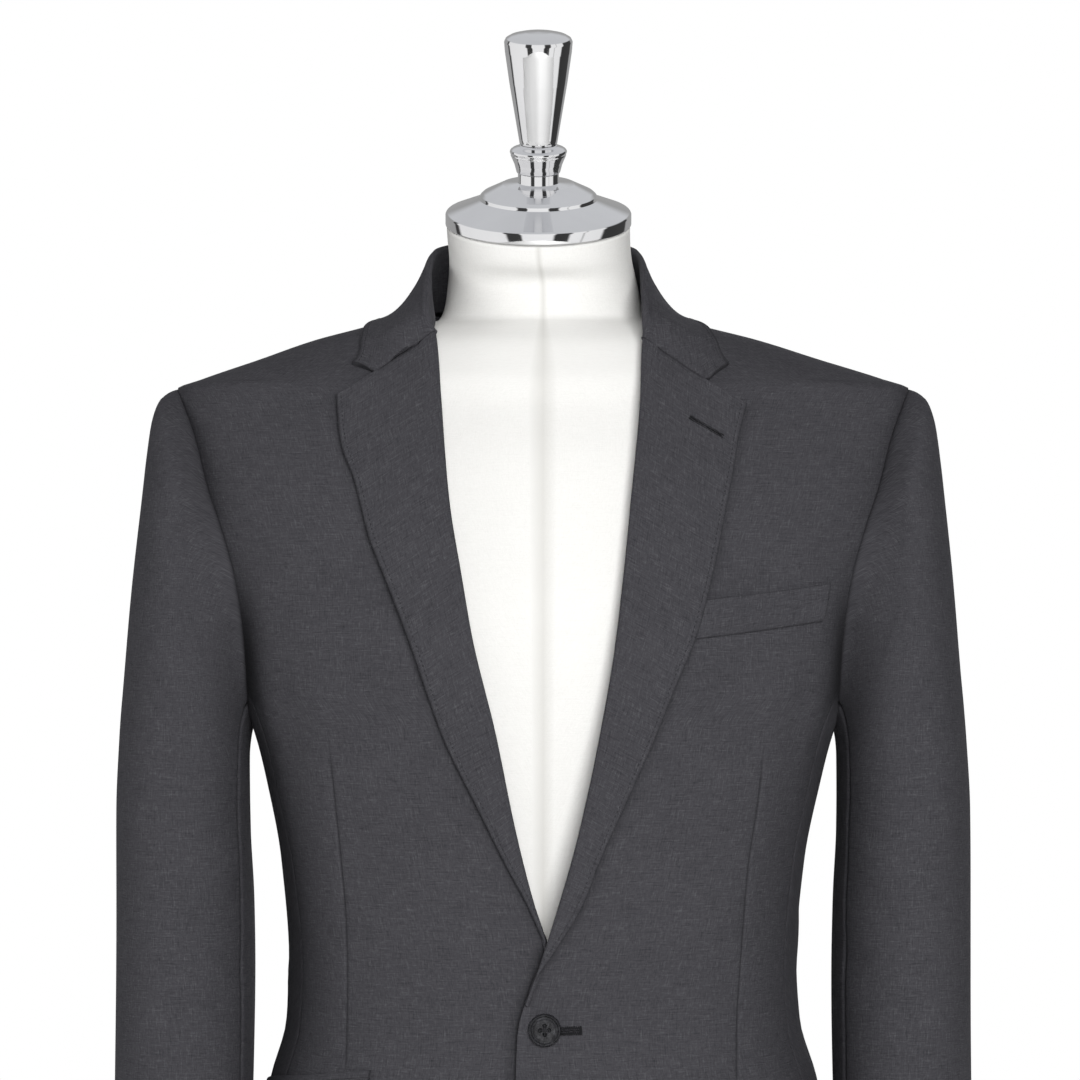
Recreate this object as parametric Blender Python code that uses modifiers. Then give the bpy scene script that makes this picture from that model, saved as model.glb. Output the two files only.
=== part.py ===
# Two-piece suit on a limbless dress form with a chrome cap, pole and round base.
# Metres, +Z up, the suit's front faces -Y, +X is the wearer's left. Cloth is thin shells.
import math

import bpy
from mathutils import Vector

for old in list(bpy.data.objects):
    bpy.data.objects.remove(old, do_unlink=True)

CLOTH = 0.0018          # cloth thickness
GAP = 0.0004            # clearance between a panel and what lies on it
LAYER = CLOTH + GAP     # lift from one cloth layer's outer face to the next one's
SEAM = 0.0003           # space between two pieces sewn edge to edge
HEM = 0.760             # jacket hem height
UNDERARM = 1.2315       # lowest point of the armhole
SHOULDER_TIP = 1.444    # highest point of the armhole
NECK_POINT = 1.4915     # where the shoulder seam meets the collar
SIDE_FRONT = 66.0       # degrees round from centre front to the front side seam
WAISTBAND_FOOT = 1.045
WAISTBAND_TOP = 1.083
CROTCH = 0.830
TROUSER_HEM = 0.035
TROUSER_TOP = 1.0445
TROUSER_SEAT = 0.905    # height below which the trouser body parts into legs
FORM_FOOT = 0.905       # flat underside of the dress form
FORM_SIDES = 36
POLE_X = 0.088          # the pole goes up inside the wearer's left trouser leg
POLE_RADIUS = 0.0125
FLANGE_RADIUS = 0.030   # the pole's foot flange
BASE_RADIUS = 0.200
BASE_THICK = 0.012
CAP_TILT = 17.0         # forward lean of the cap and finial, degrees
CAP_CENTRE = (-0.003, -0.003, 1.5470)
NECK_RADIUS = 0.0575

WELT_START = 19.0       # breast welt's ends, degrees round from centre front
WELT_END = 51.6
WELT_FOOT = (1.2862, 1.2998)    # heights of its lower edge at the two ends
WELT_HEAD = (1.3095, 1.3225)
POCKET_START = 36.5     # flap pocket's ends, degrees round from centre front
POCKET_END = 86.5
POCKET_HEIGHT = 1.0237  # foot of the jet at its front end, on the wearer's right
POCKET_LOWER = 0.0085   # the wearer's left pocket is this much lower
POCKET_SLANT = 0.018
JET_HEIGHT = 0.005
FLAP_DEPTH = 0.056
FRONT_SEAM = 148.0      # sleeve seams, degrees round the arm from its outer side
BACK_SEAM = -100.0
BUTTON_X = 0.0008
BUTTON_HEIGHTS = (1.0546, 0.9500)
CUFF_BUTTON_FOOT = 0.855
CUFF_BUTTON_STEP = 0.0165

# height, half width, front depth, back depth, roundness power, centre y
JACKET_BODY = [
    (0.7600, .1880, .1380, .1280, 2.30, .000),
    (0.8500, .1870, .1380, .1300, 2.30, .000),
    (0.9600, .1800, .1375, .1180, 2.30, .000),
    (1.0110, .1718, .1360, .1050, 2.30, .000),
    (1.0480, .1614, .1335, .0940, 2.30, .000),
    (1.0850, .1594, .1300, .0880, 2.30, .000),
    (1.1480, .1645, .1280, .0960, 2.35, .000),
    (1.1990, .1746, .1275, .1060, 2.40, .000),
    (1.2315, .1829, .1270, .1130, 2.40, .000),
    (1.2600, .1955, .1265, .1180, 2.40, .000),
    (1.3000, .2055, .1250, .1230, 2.40, .000),
    (1.3500, .2160, .1180, .1260, 2.40, .002),
    (1.4000, .2240, .1050, .1220, 2.30, .004),
    (1.4440, .2300, .0860, .1080, 2.20, .006),
    (1.4498, .2147, .0830, .1060, 2.20, .006),
    (1.4623, .1765, .0775, .1000, 2.15, .007),
    (1.4749, .1385, .0715, .0930, 2.10, .008),
    (1.4820, .1110, .0665, .0865, 2.07, .009),
    (1.4863, .0945, .0635, .0820, 2.03, .009),
    (1.4915, .0735, .0590, .0740, 2.00, .010),
    (1.5080, .0715, .0540, .0690, 2.00, .010),
]
# height, how far the top of the jacket sits over to the wearer's right
NECK_LEAN = [
    (1.4440, .0000), (1.4498, .0006), (1.4623, .0025), (1.4749, .0045), (1.4863, .0055), (1.5080, .0055),
]
# height, distance of the armhole seam from the centre plane
ARMHOLE = [
    (1.2315, .1829), (1.2400, .1836), (1.2750, .1848), (1.3040, .1868), (1.3300, .1910),
    (1.3590, .1996), (1.3800, .2076), (1.4150, .2178), (1.4440, .2300),
]
# height, distance of the roll line (the fold that the lapel turns on) from centre
ROLL_LEFT = [
    (1.0600, -.0150), (1.0715, -.0104), (1.0834, -.0060), (1.0948, -.0022), (1.1127, .0035),
    (1.1649, .0185), (1.2273, .0324), (1.2771, .0414), (1.3252, .0475), (1.3735, .0525),
    (1.4347, .0585), (1.4716, .0602), (1.4915, .0720),
]
ROLL_RIGHT = [
    (1.0600, -.0150), (1.0715, -.0103), (1.0870, -.0055), (1.1091, -.0017), (1.1319, .0055),
    (1.1733, .0159), (1.2333, .0283), (1.2891, .0419), (1.3252, .0483), (1.3735, .0563),
    (1.4347, .0617), (1.4755, .0653), (1.4915, .0720),
]
# height, distance of the lapel's outer edge from centre
LAPEL_LEFT = [
    (1.0660, -.0115), (1.0745, -.0077), (1.0865, -.0030), (1.0989, .0052), (1.1312, .0242),
    (1.1546, .0330), (1.1917, .0498),
    (1.2289, .0667), (1.2656, .0812), (1.2908, .0915), (1.3299, .1020), (1.3590, .1083),
    (1.3924, .1154), (1.4114, .1188), (1.4312, .1241),
]
LAPEL_RIGHT = [
    (1.0745, -.0079), (1.0930, -.0065), (1.1079, .0000), (1.1331, .0115), (1.1486, .0199),
    (1.1858, .0385), (1.2290, .0596), (1.2884, .0802), (1.3257, .0948), (1.3505, .1047),
    (1.3845, .1142), (1.4096, .1232), (1.4368, .1262),
]
# height, distance of the front edge from centre: negative is past the centre
FRONT_EDGE = [
    (0.7600, .0620), (0.7680, .0420), (0.7850, .0230), (0.8200, .0070), (0.8700, -.0050),
    (0.9300, -.0140), (0.9700, -.0162), (1.0257, -.0163), (1.0507, -.0154), (1.0600, -.0150),
]
# x and z of the inner and outer ends of each sleeve ring, half depth, centre y
SLEEVE_RINGS = [
    (.1829, 1.2315, .2300, 1.4440, .0640, .003), (.1834, 1.2290, .2400, 1.4375, .0670, .003),
    (.1837, 1.2260, .2450, 1.4250, .0690, .002), (.1840, 1.2225, .2486, 1.4000, .0710, .001),
    (.1842, 1.2180, .2512, 1.3740, .0730, .000), (.1843, 1.2120, .2562, 1.3240, .0745, -.001),
    (.1843, 1.2040, .2606, 1.2740, .0755, -.001), (.1843, 1.1900, .2650, 1.2240, .0755, .000),
    (.1840, 1.1650, .2672, 1.1800, .0750, .001), (.1820, 1.1230, .2676, 1.1300, .0735, .002),
    (.1812, 1.0730, .2677, 1.0750, .0710, .000), (.1818, 1.0110, .2678, 1.0110, .0680, -.005),
    (.1865, 0.9400, .2690, 0.9400, .0640, -.013), (.1915, 0.8700, .2705, 0.8700, .0590, -.023),
    (.1950, 0.8200, .2705, 0.8200, .0550, -.031),
]
# share of the way round the neck from the gorge, then x, y, z of the collar's fold
COLLAR_FOLD = [
    (0.00, .0622, -.0655, 1.4750), (0.14, .0662, -.0590, 1.4885), (0.30, .0680, -.0420, 1.5030),
    (0.50, .0675, -.0060, 1.5215), (0.68, .0640, .0340, 1.5330), (0.84, .0430, .0620, 1.5400),
    (1.00, .0000, .0750, 1.5430),
]
# share, degrees round the body, height of the collar's outer edge, its lift
COLLAR_EDGE = [
    (0.00, 33.5, 1.4560, .0034), (0.14, 40.5, 1.4660, .0036), (0.30, 53.0, 1.4765, .0038),
    (0.50, 90.0, 1.4850, .0038), (0.68, 126.0, 1.4830, .0040), (0.84, 152.0, 1.4810, .0040),
    (1.00, 180.0, 1.4800, .0040),
]
# share, how far the leaf bows up from a straight line between fold and edge
COLLAR_BOW = [(0.00, .0035), (0.14, .0010), (0.30, -.0050), (0.50, -.0078), (0.70, -.0045), (1.00, .0010)]
# side: x and z of the roll line's top, of the lapel's corner and of the collar's corner
GORGE = {
    1: (.0602, 1.4716, .1241, 1.4312, .1136, 1.4556),
    -1: (.0653, 1.4755, .1262, 1.4368, .1168, 1.4562),
}
NOTCH = 0.60            # how far along the lapel's top edge the collar ends
# height, half width, front depth, back depth, roundness power, centre y
FORM_BODY = [
    (0.905, .1400, .0880, .0880, 2.2, .000), (0.912, .1490, .0970, .0960, 2.2, .000),
    (0.935, .1550, .1030, .1020, 2.2, .000), (0.990, .1530, .1060, .0960, 2.2, .000),
    (1.045, .1455, .1060, .0830, 2.2, .000), (1.083, .1435, .1060, .0780, 2.2, .000),
    (1.150, .1470, .1090, .0850, 2.3, .000), (1.232, .1600, .1120, .1010, 2.3, .000),
    (1.300, .1740, .1140, .1120, 2.3, .000), (1.350, .1860, .1080, .1160, 2.3, .002),
    (1.400, .1970, .0950, .1130, 2.3, .004), (1.435, .2050, .0800, .1020, 2.2, .006),
    (1.4480, .2020, .0760, .0990, 2.2, .006), (1.4604, .1690, .0710, .0930, 2.1, .007),
    (1.4720, .1285, .0650, .0860, 2.1, .008), (1.4830, .0820, .0550, .0710, 2.0, .009),
    (1.4880, .0650, .0510, .0620, 2.0, .010), (1.5080, .0600, .0510, .0590, 2.0, .008),
    (1.5300, .0572, .0560, .0572, 2.0, .001),
    (1.5468, NECK_RADIUS, NECK_RADIUS, NECK_RADIUS, 2.0, -.003),
]
# height, half width, front depth, back depth, roundness power, centre y
TROUSER_HIPS = [
    (0.820, .1745, .1160, .1220, 2.30, .000), (0.905, .1720, .1150, .1180, 2.30, .000),
    (0.960, .1655, .1150, .1130, 2.30, .000), (1.000, .1590, .1130, .1030, 2.30, .000),
    (1.045, .1485, .1092, .0862, 2.25, .000),
]
# height, centre x, half width, half depth, centre y of one trouser leg
TROUSER_LEG = [
    (TROUSER_HEM, .0850, .0560, .0680, .010), (0.250, .0860, .0600, .0690, .010),
    (0.470, .0870, .0680, .0730, .006), (0.650, .0885, .0780, .0860, .002),
    (0.800, .0900, .0840, .1020, .002), (0.905, .0905, .0845, .1120, .001),
]
# height above the cap's foot, radius
CAP_PROFILE = [
    (0.0333, 0.0), (0.0333, .0128), (0.0270, .0128), (0.0264, .0225), (0.0205, .0345),
    (0.0186, .0366), (0.0165, .0366), (0.0082, .0575), (0.0070, .0583), (0.0006, .0583),
    (0.0, .0577), (0.0, 0.0),
]
RING_PROFILE = [
    (0.0514, 0.0), (0.0514, .0117), (0.0503, .0125), (0.0490, .0160), (0.0470, .0179),
    (0.0452, .0172), (0.0446, .0174), (0.0390, .0150), (0.0336, .0136), (0.0334, 0.0),
]
FINIAL_PROFILE = [
    (0.1226, 0.0), (0.1222, .0080), (0.1208, .0150), (0.1185, .0198), (0.1163, .0213),
    (0.1100, .0208), (0.0900, .0180), (0.0700, .0147), (0.0560, .0124), (0.0516, .0117),
    (0.0516, 0.0),
]
BASE_PROFILE = [
    (BASE_THICK, 0.0), (BASE_THICK, .1950), (0.0112, .1980), (0.0095, BASE_RADIUS),
    (0.0, BASE_RADIUS), (0.0, 0.0),
]

parts = bpy.data.collections.new("suit")
cutters = bpy.data.collections.new("cutters")
bpy.context.scene.collection.children.link(parts)
bpy.context.scene.collection.children.link(cutters)
cutters.hide_render = True

CHARCOAL = (.065, .064, .074, 1)
HORN = (.045, .045, .048, 1)
CREAM = (.86, .85, .80, 1)
CHROME = (.72, .72, .73, 1)


# A smooth curve that keeps rising or falling between its named stations.
def smooth_curve(rows, column):
    xs = [row[0] for row in rows]
    ys = [row[column] for row in rows]
    last = len(xs) - 1
    step = [xs[i + 1] - xs[i] for i in range(last)]
    rise = [(ys[i + 1] - ys[i]) / step[i] for i in range(last)]
    tangent = [rise[0]] + [0.0] * (last - 1) + [rise[-1]]
    for i in range(1, last):
        if rise[i - 1] * rise[i] > 0:
            near = 2 * step[i] + step[i - 1]
            far = step[i] + 2 * step[i - 1]
            tangent[i] = (near + far) / (near / rise[i - 1] + far / rise[i])

    def value(at):
        at = min(max(at, xs[0]), xs[-1])
        i = 0
        while i < last - 1 and at > xs[i + 1]:
            i += 1
        t = (at - xs[i]) / step[i]
        start = (1 + 2 * t) * (1 - t) ** 2 * ys[i] + t * (1 - t) ** 2 * step[i] * tangent[i]
        end = t * t * (3 - 2 * t) * ys[i + 1] + t * t * (t - 1) * step[i] * tangent[i + 1]
        return start + end

    return value


def fade(at, start, end):
    t = min(max((at - start) / (end - start), 0.0), 1.0)
    return t * t * (3 - 2 * t)


def mix(a, b, t):
    return a + (b - a) * t


# A trunk is a stack of rounded sections: point(degrees round from the front, height, lift).
class Trunk:
    def __init__(self, rows):
        self.width, self.front, self.back, self.power, self.centre = [
            smooth_curve(rows, column) for column in range(1, 6)]

    def flat(self, degrees, z):
        angle = math.radians(degrees)
        power = self.power(z)
        s, c = math.sin(angle), math.cos(angle)
        reach = (abs(s) ** power + abs(c) ** power) ** (-1 / power)
        depth = self.front(z) if c > 0 else self.back(z)
        return Vector((self.width(z) * reach * s, self.centre(z) - depth * reach * c, z))

    def point(self, degrees, z, lift=0.0):
        place = self.flat(degrees, z)
        if not lift:
            return place
        along = self.flat(degrees + 1, z) - self.flat(degrees - 1, z)
        low, high = max(z - .002, HEM), min(z + .002, NECK_POINT)
        up = self.flat(degrees, high) - self.flat(degrees, low)
        return place + along.cross(up).normalized() * lift

    def degrees(self, x, z):
        share = min(abs(x) / self.width(z), 1.0)
        power = self.power(z)
        other = max(1 - share ** power, 0.0) ** (1 / power)
        return math.copysign(math.degrees(math.atan2(share, other)), x)


neck_lean = smooth_curve(NECK_LEAN, 1)
jacket = {side: Trunk([(row[0], row[1] - side * neck_lean(row[0])) + row[2:] for row in JACKET_BODY])
          for side in (1, -1)}
form = Trunk(FORM_BODY)
hips = Trunk(TROUSER_HIPS)
armhole_x = smooth_curve(ARMHOLE, 1)
front_edge_x = smooth_curve(FRONT_EDGE, 1)
roll_x = {1: smooth_curve(ROLL_LEFT, 1), -1: smooth_curve(ROLL_RIGHT, 1)}
lapel_x = {1: smooth_curve(LAPEL_LEFT, 1), -1: smooth_curve(LAPEL_RIGHT, 1)}
SIDE_NAME = {1: "left", -1: "right"}


def paint(ob, colour, metal=0.0, rough=0.7):
    material = bpy.data.materials.new(ob.name)
    material.use_nodes = True
    shader = material.node_tree.nodes["Principled BSDF"]
    shader.inputs["Base Color"].default_value = colour
    shader.inputs["Metallic"].default_value = metal
    shader.inputs["Roughness"].default_value = rough
    ob.data.materials.append(material)


def new_object(name, points, faces, colour, metal=0.0, rough=0.7, home=None):
    mesh = bpy.data.meshes.new(name)
    mesh.from_pydata([tuple(p) for p in points], [], faces)
    ob = bpy.data.objects.new(name, mesh)
    (home or parts).objects.link(ob)
    paint(ob, colour, metal, rough)
    return ob


# Rows of points, lowest first, going round anticlockwise seen from above on the +X side.
# side -1 mirrors them to the wearer's right. The points are the outer face.
def cloth(name, rows, side=1, thick=CLOTH, ring=False, colour=CHARCOAL):
    across = len(rows[0])
    points = [Vector((p[0] * side, p[1], p[2])) for row in rows for p in row]
    faces = []
    for i in range(len(rows) - 1):
        for j in range(across if ring else across - 1):
            k = (j + 1) % across
            face = [i * across + j, i * across + k, (i + 1) * across + k, (i + 1) * across + j]
            faces.append(face if side > 0 else face[::-1])
    ob = new_object(name, points, faces, colour)
    shell = ob.modifiers.new("cloth", "SOLIDIFY")
    shell.thickness = thick
    shell.offset = -1
    return ob


def steps(start, end, count):
    return [mix(start, end, i / count) for i in range(count + 1)]


# The closed front lies over the other front, its lapel and that lapel's roll.
def front_lift(side, x, z):
    if side < 0:
        return 0.0
    over_lapel = fade(z, 1.040, 1.062) * (1 - fade(z, 1.150, 1.200))
    return LAYER * (1 + 1.25 * over_lapel) * (1 - fade(x, .024, .070)) * (1 - fade(z, 1.20, 1.26))


def armhole_degrees(z):
    return jacket[1].degrees(armhole_x(z), z)


# The height at which the armhole crosses a given direction round the body.
def armhole_height(degrees):
    fold = abs(90 - degrees)
    low, high = UNDERARM, 1.300
    for _ in range(30):
        middle = (low + high) / 2
        if 90 - armhole_degrees(middle) > fold:
            high = middle
        else:
            low = middle
    return (low + high) / 2


FRONT_ARMHOLE = armhole_height(SIDE_FRONT)
SIDE_BACK = [(HEM, 118.0), (1.085, 120.0), (FRONT_ARMHOLE, 180 - SIDE_FRONT), (1.3, 180 - SIDE_FRONT)]
side_back = smooth_curve(SIDE_BACK, 1)
BODY_ROWS = steps(HEM, 1.02, 5)[:-1] + steps(1.02, UNDERARM, 5)[:-1] + steps(UNDERARM, 1.40, 6)[:-1]
SHOULDER_ROWS = [1.400, 1.424, 1.437, SHOULDER_TIP, 1.4498, 1.4575, 1.4660, 1.4749, 1.4840]
LAPEL_FOOT = 1.0690     # lowest point of the lapels, where they meet the front edge


# Half the space left at a side or shoulder seam, as an angle round the body.
def seam_degrees(z):
    return math.degrees(SEAM / .18) + .25 * fade(z, 1.39, 1.43)


def front_panel(side):
    rows = []
    body = jacket[side]
    for z in BODY_ROWS + SHOULDER_ROWS + [NECK_POINT]:
        inner = roll_x[side](z) if z > 1.06 else front_edge_x(z)
        outer = SIDE_FRONT
        if z > FRONT_ARMHOLE:
            outer = armhole_degrees(z)
        if z > SHOULDER_TIP:
            outer = 90.0
        start = body.degrees(inner, z)
        end = outer - seam_degrees(z)
        row = []
        for degrees in steps(start, end, 9):
            x = body.flat(degrees, z)[0]
            row.append(body.point(degrees, z, front_lift(side, x, z)))
        rows.append(row)
    return cloth(f"front_{SIDE_NAME[side]}", rows, side)


def side_panel(side):
    rows = []
    for share in steps(0.0, 1.0, 13):
        row = []
        for across in steps(0.02, 0.98, 5):
            top = armhole_height(mix(SIDE_FRONT, 180 - SIDE_FRONT, across)) - 3 * SEAM
            z = mix(HEM, top, share)
            row.append(jacket[side].point(mix(SIDE_FRONT + .1, side_back(z) - .1, across), z))
        rows.append(row)
    return cloth(f"side_{SIDE_NAME[side]}", rows, side)


def back_panel(side):
    rows = []
    for z in BODY_ROWS + SHOULDER_ROWS + [NECK_POINT]:
        outer = side_back(z)
        if z > FRONT_ARMHOLE:
            outer = 180 - armhole_degrees(z)
        if z > SHOULDER_TIP:
            outer = 90.0
        start = outer + seam_degrees(z)
        end = 180 - math.degrees(SEAM / jacket[side].width(z))
        rows.append([jacket[side].point(degrees, z) for degrees in steps(start, end, 7)])
    return cloth(f"back_{SIDE_NAME[side]}", rows, side)


# The lapel is the front folded back on the roll line, so it lies on the front.
def lapel_spot(side, across, up):
    low = lapel_x[side]
    roll_z = mix(LAPEL_FOOT, GORGE[side][1], up)
    edge_z = mix(LAPEL_FOOT + .0015, GORGE[side][3], up)
    x = mix(roll_x[side](roll_z) + .0004, max(low(edge_z), roll_x[side](edge_z) + .0012), across)
    z = mix(roll_z, edge_z, across) - .0020 * math.sin(math.pi * across) * fade(up, .85, 1.0)
    return x, z


def lapel_lift(side, x, z, across, up):
    belly = .0016 * max(math.sin(math.pi * across), fade(z, 1.245, 1.27) * (1 - fade(z, 1.345, 1.37)))
    return front_lift(side, x, z) + LAYER + .0004 + .0004 * fade(z, 1.42, 1.46) + belly * fade(up, .12, .35)


def lapel(side):
    rows = []
    for up in steps(0.0, 1.0, 15):
        row = []
        for across in steps(0.0, 1.0, 5):
            x, z = lapel_spot(side, across, up)
            lift = lapel_lift(side, x, z, across, up)
            row.append(jacket[side].point(jacket[side].degrees(x, z), z, lift))
        rows.append(row)
    return cloth(f"lapel_{SIDE_NAME[side]}", rows, side)


fold_at = [smooth_curve(COLLAR_FOLD, column) for column in (1, 2, 3)]
edge_at = [smooth_curve(COLLAR_EDGE, column) for column in (1, 2, 3)]
bow_at = smooth_curve(COLLAR_BOW, 1)


# The neck seam: up the front panel's edge to the neck point, then round the back.
def neck_seam(side, round_neck):
    body = jacket[side]
    if round_neck < .45:
        share = round_neck / .45
        z = mix(1.4730, NECK_POINT, share)
        x = min(roll_x[side](z) - .0016 - .0010 * (1 - share), body.width(z) - .0002)
        over = .0006 + .0022 * fade(round_neck, .15, .40)
        return body.point(body.degrees(x, z), z, .0006) + Vector((0, 0, over))
    seat = body.flat(mix(90, 180, (round_neck - .45) / .55), NECK_POINT)
    return seat + Vector((0, 0, .0028))


# Moves a leaf point out where it would be under the jacket's outer face.
def clear_jacket(body, place, need):
    x, y, z = place
    if z > 1.4800 or abs(x) > .93 * body.width(z):
        return place
    degrees = body.degrees(x, z)
    if y > body.centre(z):
        return Vector((x, max(y, body.point(180 - degrees, z, need)[1]), z))
    return Vector((x, min(y, body.point(degrees, z, need)[1]), z))


# One turned collar: stand up from the neck seam, over the fold, and the leaf down outside.
def collar_row(share):
    side = 1 if share >= 0 else -1
    body = jacket[side]
    round_neck = 1 - abs(share)
    near_end = (1 - fade(round_neck, .0, .15)) ** 2
    top_x, top_z, _, _, corner_x, corner_z = GORGE[side]
    fold = Vector([curve(round_neck) for curve in fold_at])
    fold += Vector((top_x - .0612, .0035, top_z - 1.4722)) * near_end
    fold[0] -= side * .0047 * (1 - near_end) * (1 - fade(round_neck, .70, 1.0))
    degrees, z, lift = [curve(round_neck) for curve in edge_at]
    edge = body.point(degrees, z, lift)
    seat = neck_seam(side, round_neck)
    away = edge - fold
    away[2] = 0
    away.normalize()
    up = Vector((0, 0, 1))
    tall = fade(round_neck, 0, .25)
    row = [seat, mix(seat, fold, .55) - away * mix(.0006, .0024, tall),
           fold - away * mix(.0022, .0030, tall) - up * .0022 * tall, fold, fold + away * .0026 - up * .0020]
    for along in (.22, .42, .62, .80, 1.0):
        place = mix(fold, edge, along) + up * bow_at(round_neck) * math.sin(math.pi * along)
        x, z = lapel_spot(side, NOTCH * along / .8, 1.0)
        z += 4 * SEAM
        if along == 1.0:
            x, z = corner_x, corner_z
        end = body.point(body.degrees(x, z), z, .0036)
        row.append(clear_jacket(body, mix(place, end, near_end), .0036))
    return [Vector((p[0] * side, p[1], p[2])) for p in row]


def collar():
    shares = [-1, -.95, -.88, -.78, -.66, -.54, -.42, -.30, -.20, -.10]
    rows = [collar_row(share) for share in shares + [0.0] + [-s for s in reversed(shares)]]
    return cloth("collar", list(zip(*rows)))


sleeve_at = [smooth_curve([(i,) + row for i, row in enumerate(SLEEVE_RINGS)], column + 1)
             for column in range(6)]
SLEEVE_LAST = len(SLEEVE_RINGS) - 1


# round is 0 at the outside of the sleeve, +90 in front and 180 against the body.
def sleeve_point(round_arm, ring):
    inner_x, inner_z, outer_x, outer_z, depth, centre = [curve(ring) for curve in sleeve_at]
    angle = math.radians(round_arm)
    s, c = math.sin(angle), math.cos(angle)
    reach = (abs(s) ** 2.25 + abs(c) ** 2.25) ** (-1 / 2.25)
    middle_x, middle_z = (inner_x + outer_x) / 2, (inner_z + outer_z) / 2
    place = Vector((middle_x + (outer_x - inner_x) / 2 * reach * c, centre - depth * reach * s,
                    middle_z + (outer_z - inner_z) / 2 * reach * c))
    reach_down = 1 + 3.5 * fade(abs(math.remainder(round_arm, 360)), 60, 125)
    if ring < reach_down:
        seam_z = min(max(mix(UNDERARM, SHOULDER_TIP, (c + 1) / 2), UNDERARM), SHOULDER_TIP)
        x = armhole_x(seam_z)
        front = jacket[1].degrees(x, seam_z)
        seam = jacket[1].flat(front if s >= 0 else 180 - front, seam_z)
        seam[0] += 4 * GAP
        place = mix(place, seam, (1 - ring / reach_down) ** 1.5)
    return place


def sleeve_piece(name, side, start, end, count):
    rings = [0, .4, 1, 1.8, 2.8, 4, 5, 6, 7, 8, 9, 10, 11, 12, 13, 14]
    rows = [[sleeve_point(angle, ring) for angle in steps(start, end, count)][::-1]
            for ring in reversed(rings)]
    return cloth(f"{name}_{SIDE_NAME[side]}", rows, side)


# A patch of cloth lying on the jacket between two angles and two heights, lower edge first.
def patch(name, side, ends, foot, head, across, up, lift, thick):
    rows = []
    for share in steps(0.0, 1.0, up):
        row = []
        for along in steps(0.0, 1.0, across):
            degrees = mix(ends[0], ends[1], along)
            z = mix(foot(along), head(along), share)
            x = jacket[side].flat(degrees, z)[0]
            row.append(jacket[side].point(degrees, z, front_lift(side, x, z) + lift))
        rows.append(row)
    return cloth(name, rows, side, thick)


# Flap pockets start in front of the dart and run back round the side.
def pockets(side):
    height = POCKET_HEIGHT - (POCKET_LOWER if side > 0 else 0)

    def line(along):
        return height - POCKET_SLANT * along

    def flap_foot(along):
        corner = max(abs(along - .5) - .40, 0) / .10
        return line(along) - FLAP_DEPTH + .010 * corner ** 2

    patch(f"pocket_jet_{SIDE_NAME[side]}", side, (POCKET_START, POCKET_END), line,
          lambda a: line(a) + JET_HEIGHT, 8, 1, LAYER, CLOTH - .0006)
    patch(f"pocket_flap_{SIDE_NAME[side]}", side, (POCKET_START, POCKET_END), flap_foot,
          lambda a: line(a) - SEAM, 12, 3, LAYER + .0006, CLOTH)


# The welt's front end goes under the lapel.
def breast_welt():
    def foot(along):
        return mix(*WELT_FOOT, along)

    def head(along):
        return mix(*WELT_HEAD, along)

    patch("breast_welt", 1, (WELT_START, WELT_END), foot, head, 8, 2, .0017, .0012)


# Turned solids. The profile goes from the axis at the top to the axis at the foot.
def turned(name, profile, colour, metal, rough, count, place, tilt=0.0):
    points = [(radius, 0, height) for height, radius in profile]
    mesh = bpy.data.meshes.new(name)
    mesh.from_pydata(points, [(i, i + 1) for i in range(len(points) - 1)], [])
    ob = bpy.data.objects.new(name, mesh)
    parts.objects.link(ob)
    paint(ob, colour, metal, rough)
    lathe = ob.modifiers.new("lathe", "SCREW")
    lathe.axis = "Z"
    lathe.steps = count
    lathe.render_steps = count
    lathe.use_merge_vertices = True
    lathe.merge_threshold = .00005
    lathe.use_normal_calculate = False
    ob.location = place
    ob.rotation_euler = (math.radians(tilt), 0, 0)
    return ob


def dress_form():
    heights = [row[0] for row in FORM_BODY]
    heights = sorted(heights + [1.115, 1.190, 1.265, 1.4540, 1.4665, 1.4780])
    count = FORM_SIDES
    rows = []
    for z in heights:
        lean = math.tan(math.radians(CAP_TILT)) * fade(z, 1.500, 1.5468)
        row = []
        for j in range(count):
            p = form.flat(360 * j / count, z)
            p[2] += lean * (p[1] - form.centre(z))
            p[0] += CAP_CENTRE[0] * fade(z, 1.500, 1.5468)
            row.append(p)
        rows.append(row)
    points = [p for row in rows for p in row]
    faces = []
    for i in range(len(rows) - 1):
        for j in range(count):
            k = (j + 1) % count
            faces.append([i * count + j, i * count + k, (i + 1) * count + k, (i + 1) * count + j])
    faces.append(list(range(count))[::-1])
    top = (len(rows) - 1) * count
    faces.append([top + j for j in range(count)])
    return new_object("form_body", points, faces, CREAM, 0, .8)


# One trouser leg with its share of the seat: the halves meet in a curve under the crotch.
def trouser_point(half, across, z):
    centre_x, half_wide, half_deep, centre_y = [curve(z) for curve in leg_at]
    angle = math.radians(mix(-90, 90, across) if half == "front" else mix(90, 270, across))
    s, c = math.sin(angle), math.cos(angle)
    reach = (abs(s) ** 2.3 + abs(c) ** 2.3) ** (-1 / 2.3)
    leg = Vector((centre_x + half_wide * reach * s, centre_y - half_deep * reach * c, z))
    body = hips.flat(mix(.15, 90, across) if half == "front" else mix(90, 179.85, across), z)
    return mix(leg, body, fade(z, CROTCH, TROUSER_SEAT))


leg_at = [smooth_curve(TROUSER_LEG, column) for column in range(1, 5)]
TROUSER_ROWS = [TROUSER_HEM, .18, .33, .47, .60, .72, .79, CROTCH, .853, .878, TROUSER_SEAT, .95, 1.0,
                TROUSER_TOP]


def trouser_piece(half, side):
    edge = .003
    rows = [[trouser_point(half, across, z) for across in steps(edge, 1 - edge, 8)]
            for z in TROUSER_ROWS]
    return cloth(f"trouser_{half}_{SIDE_NAME[side]}", rows, side)


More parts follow.
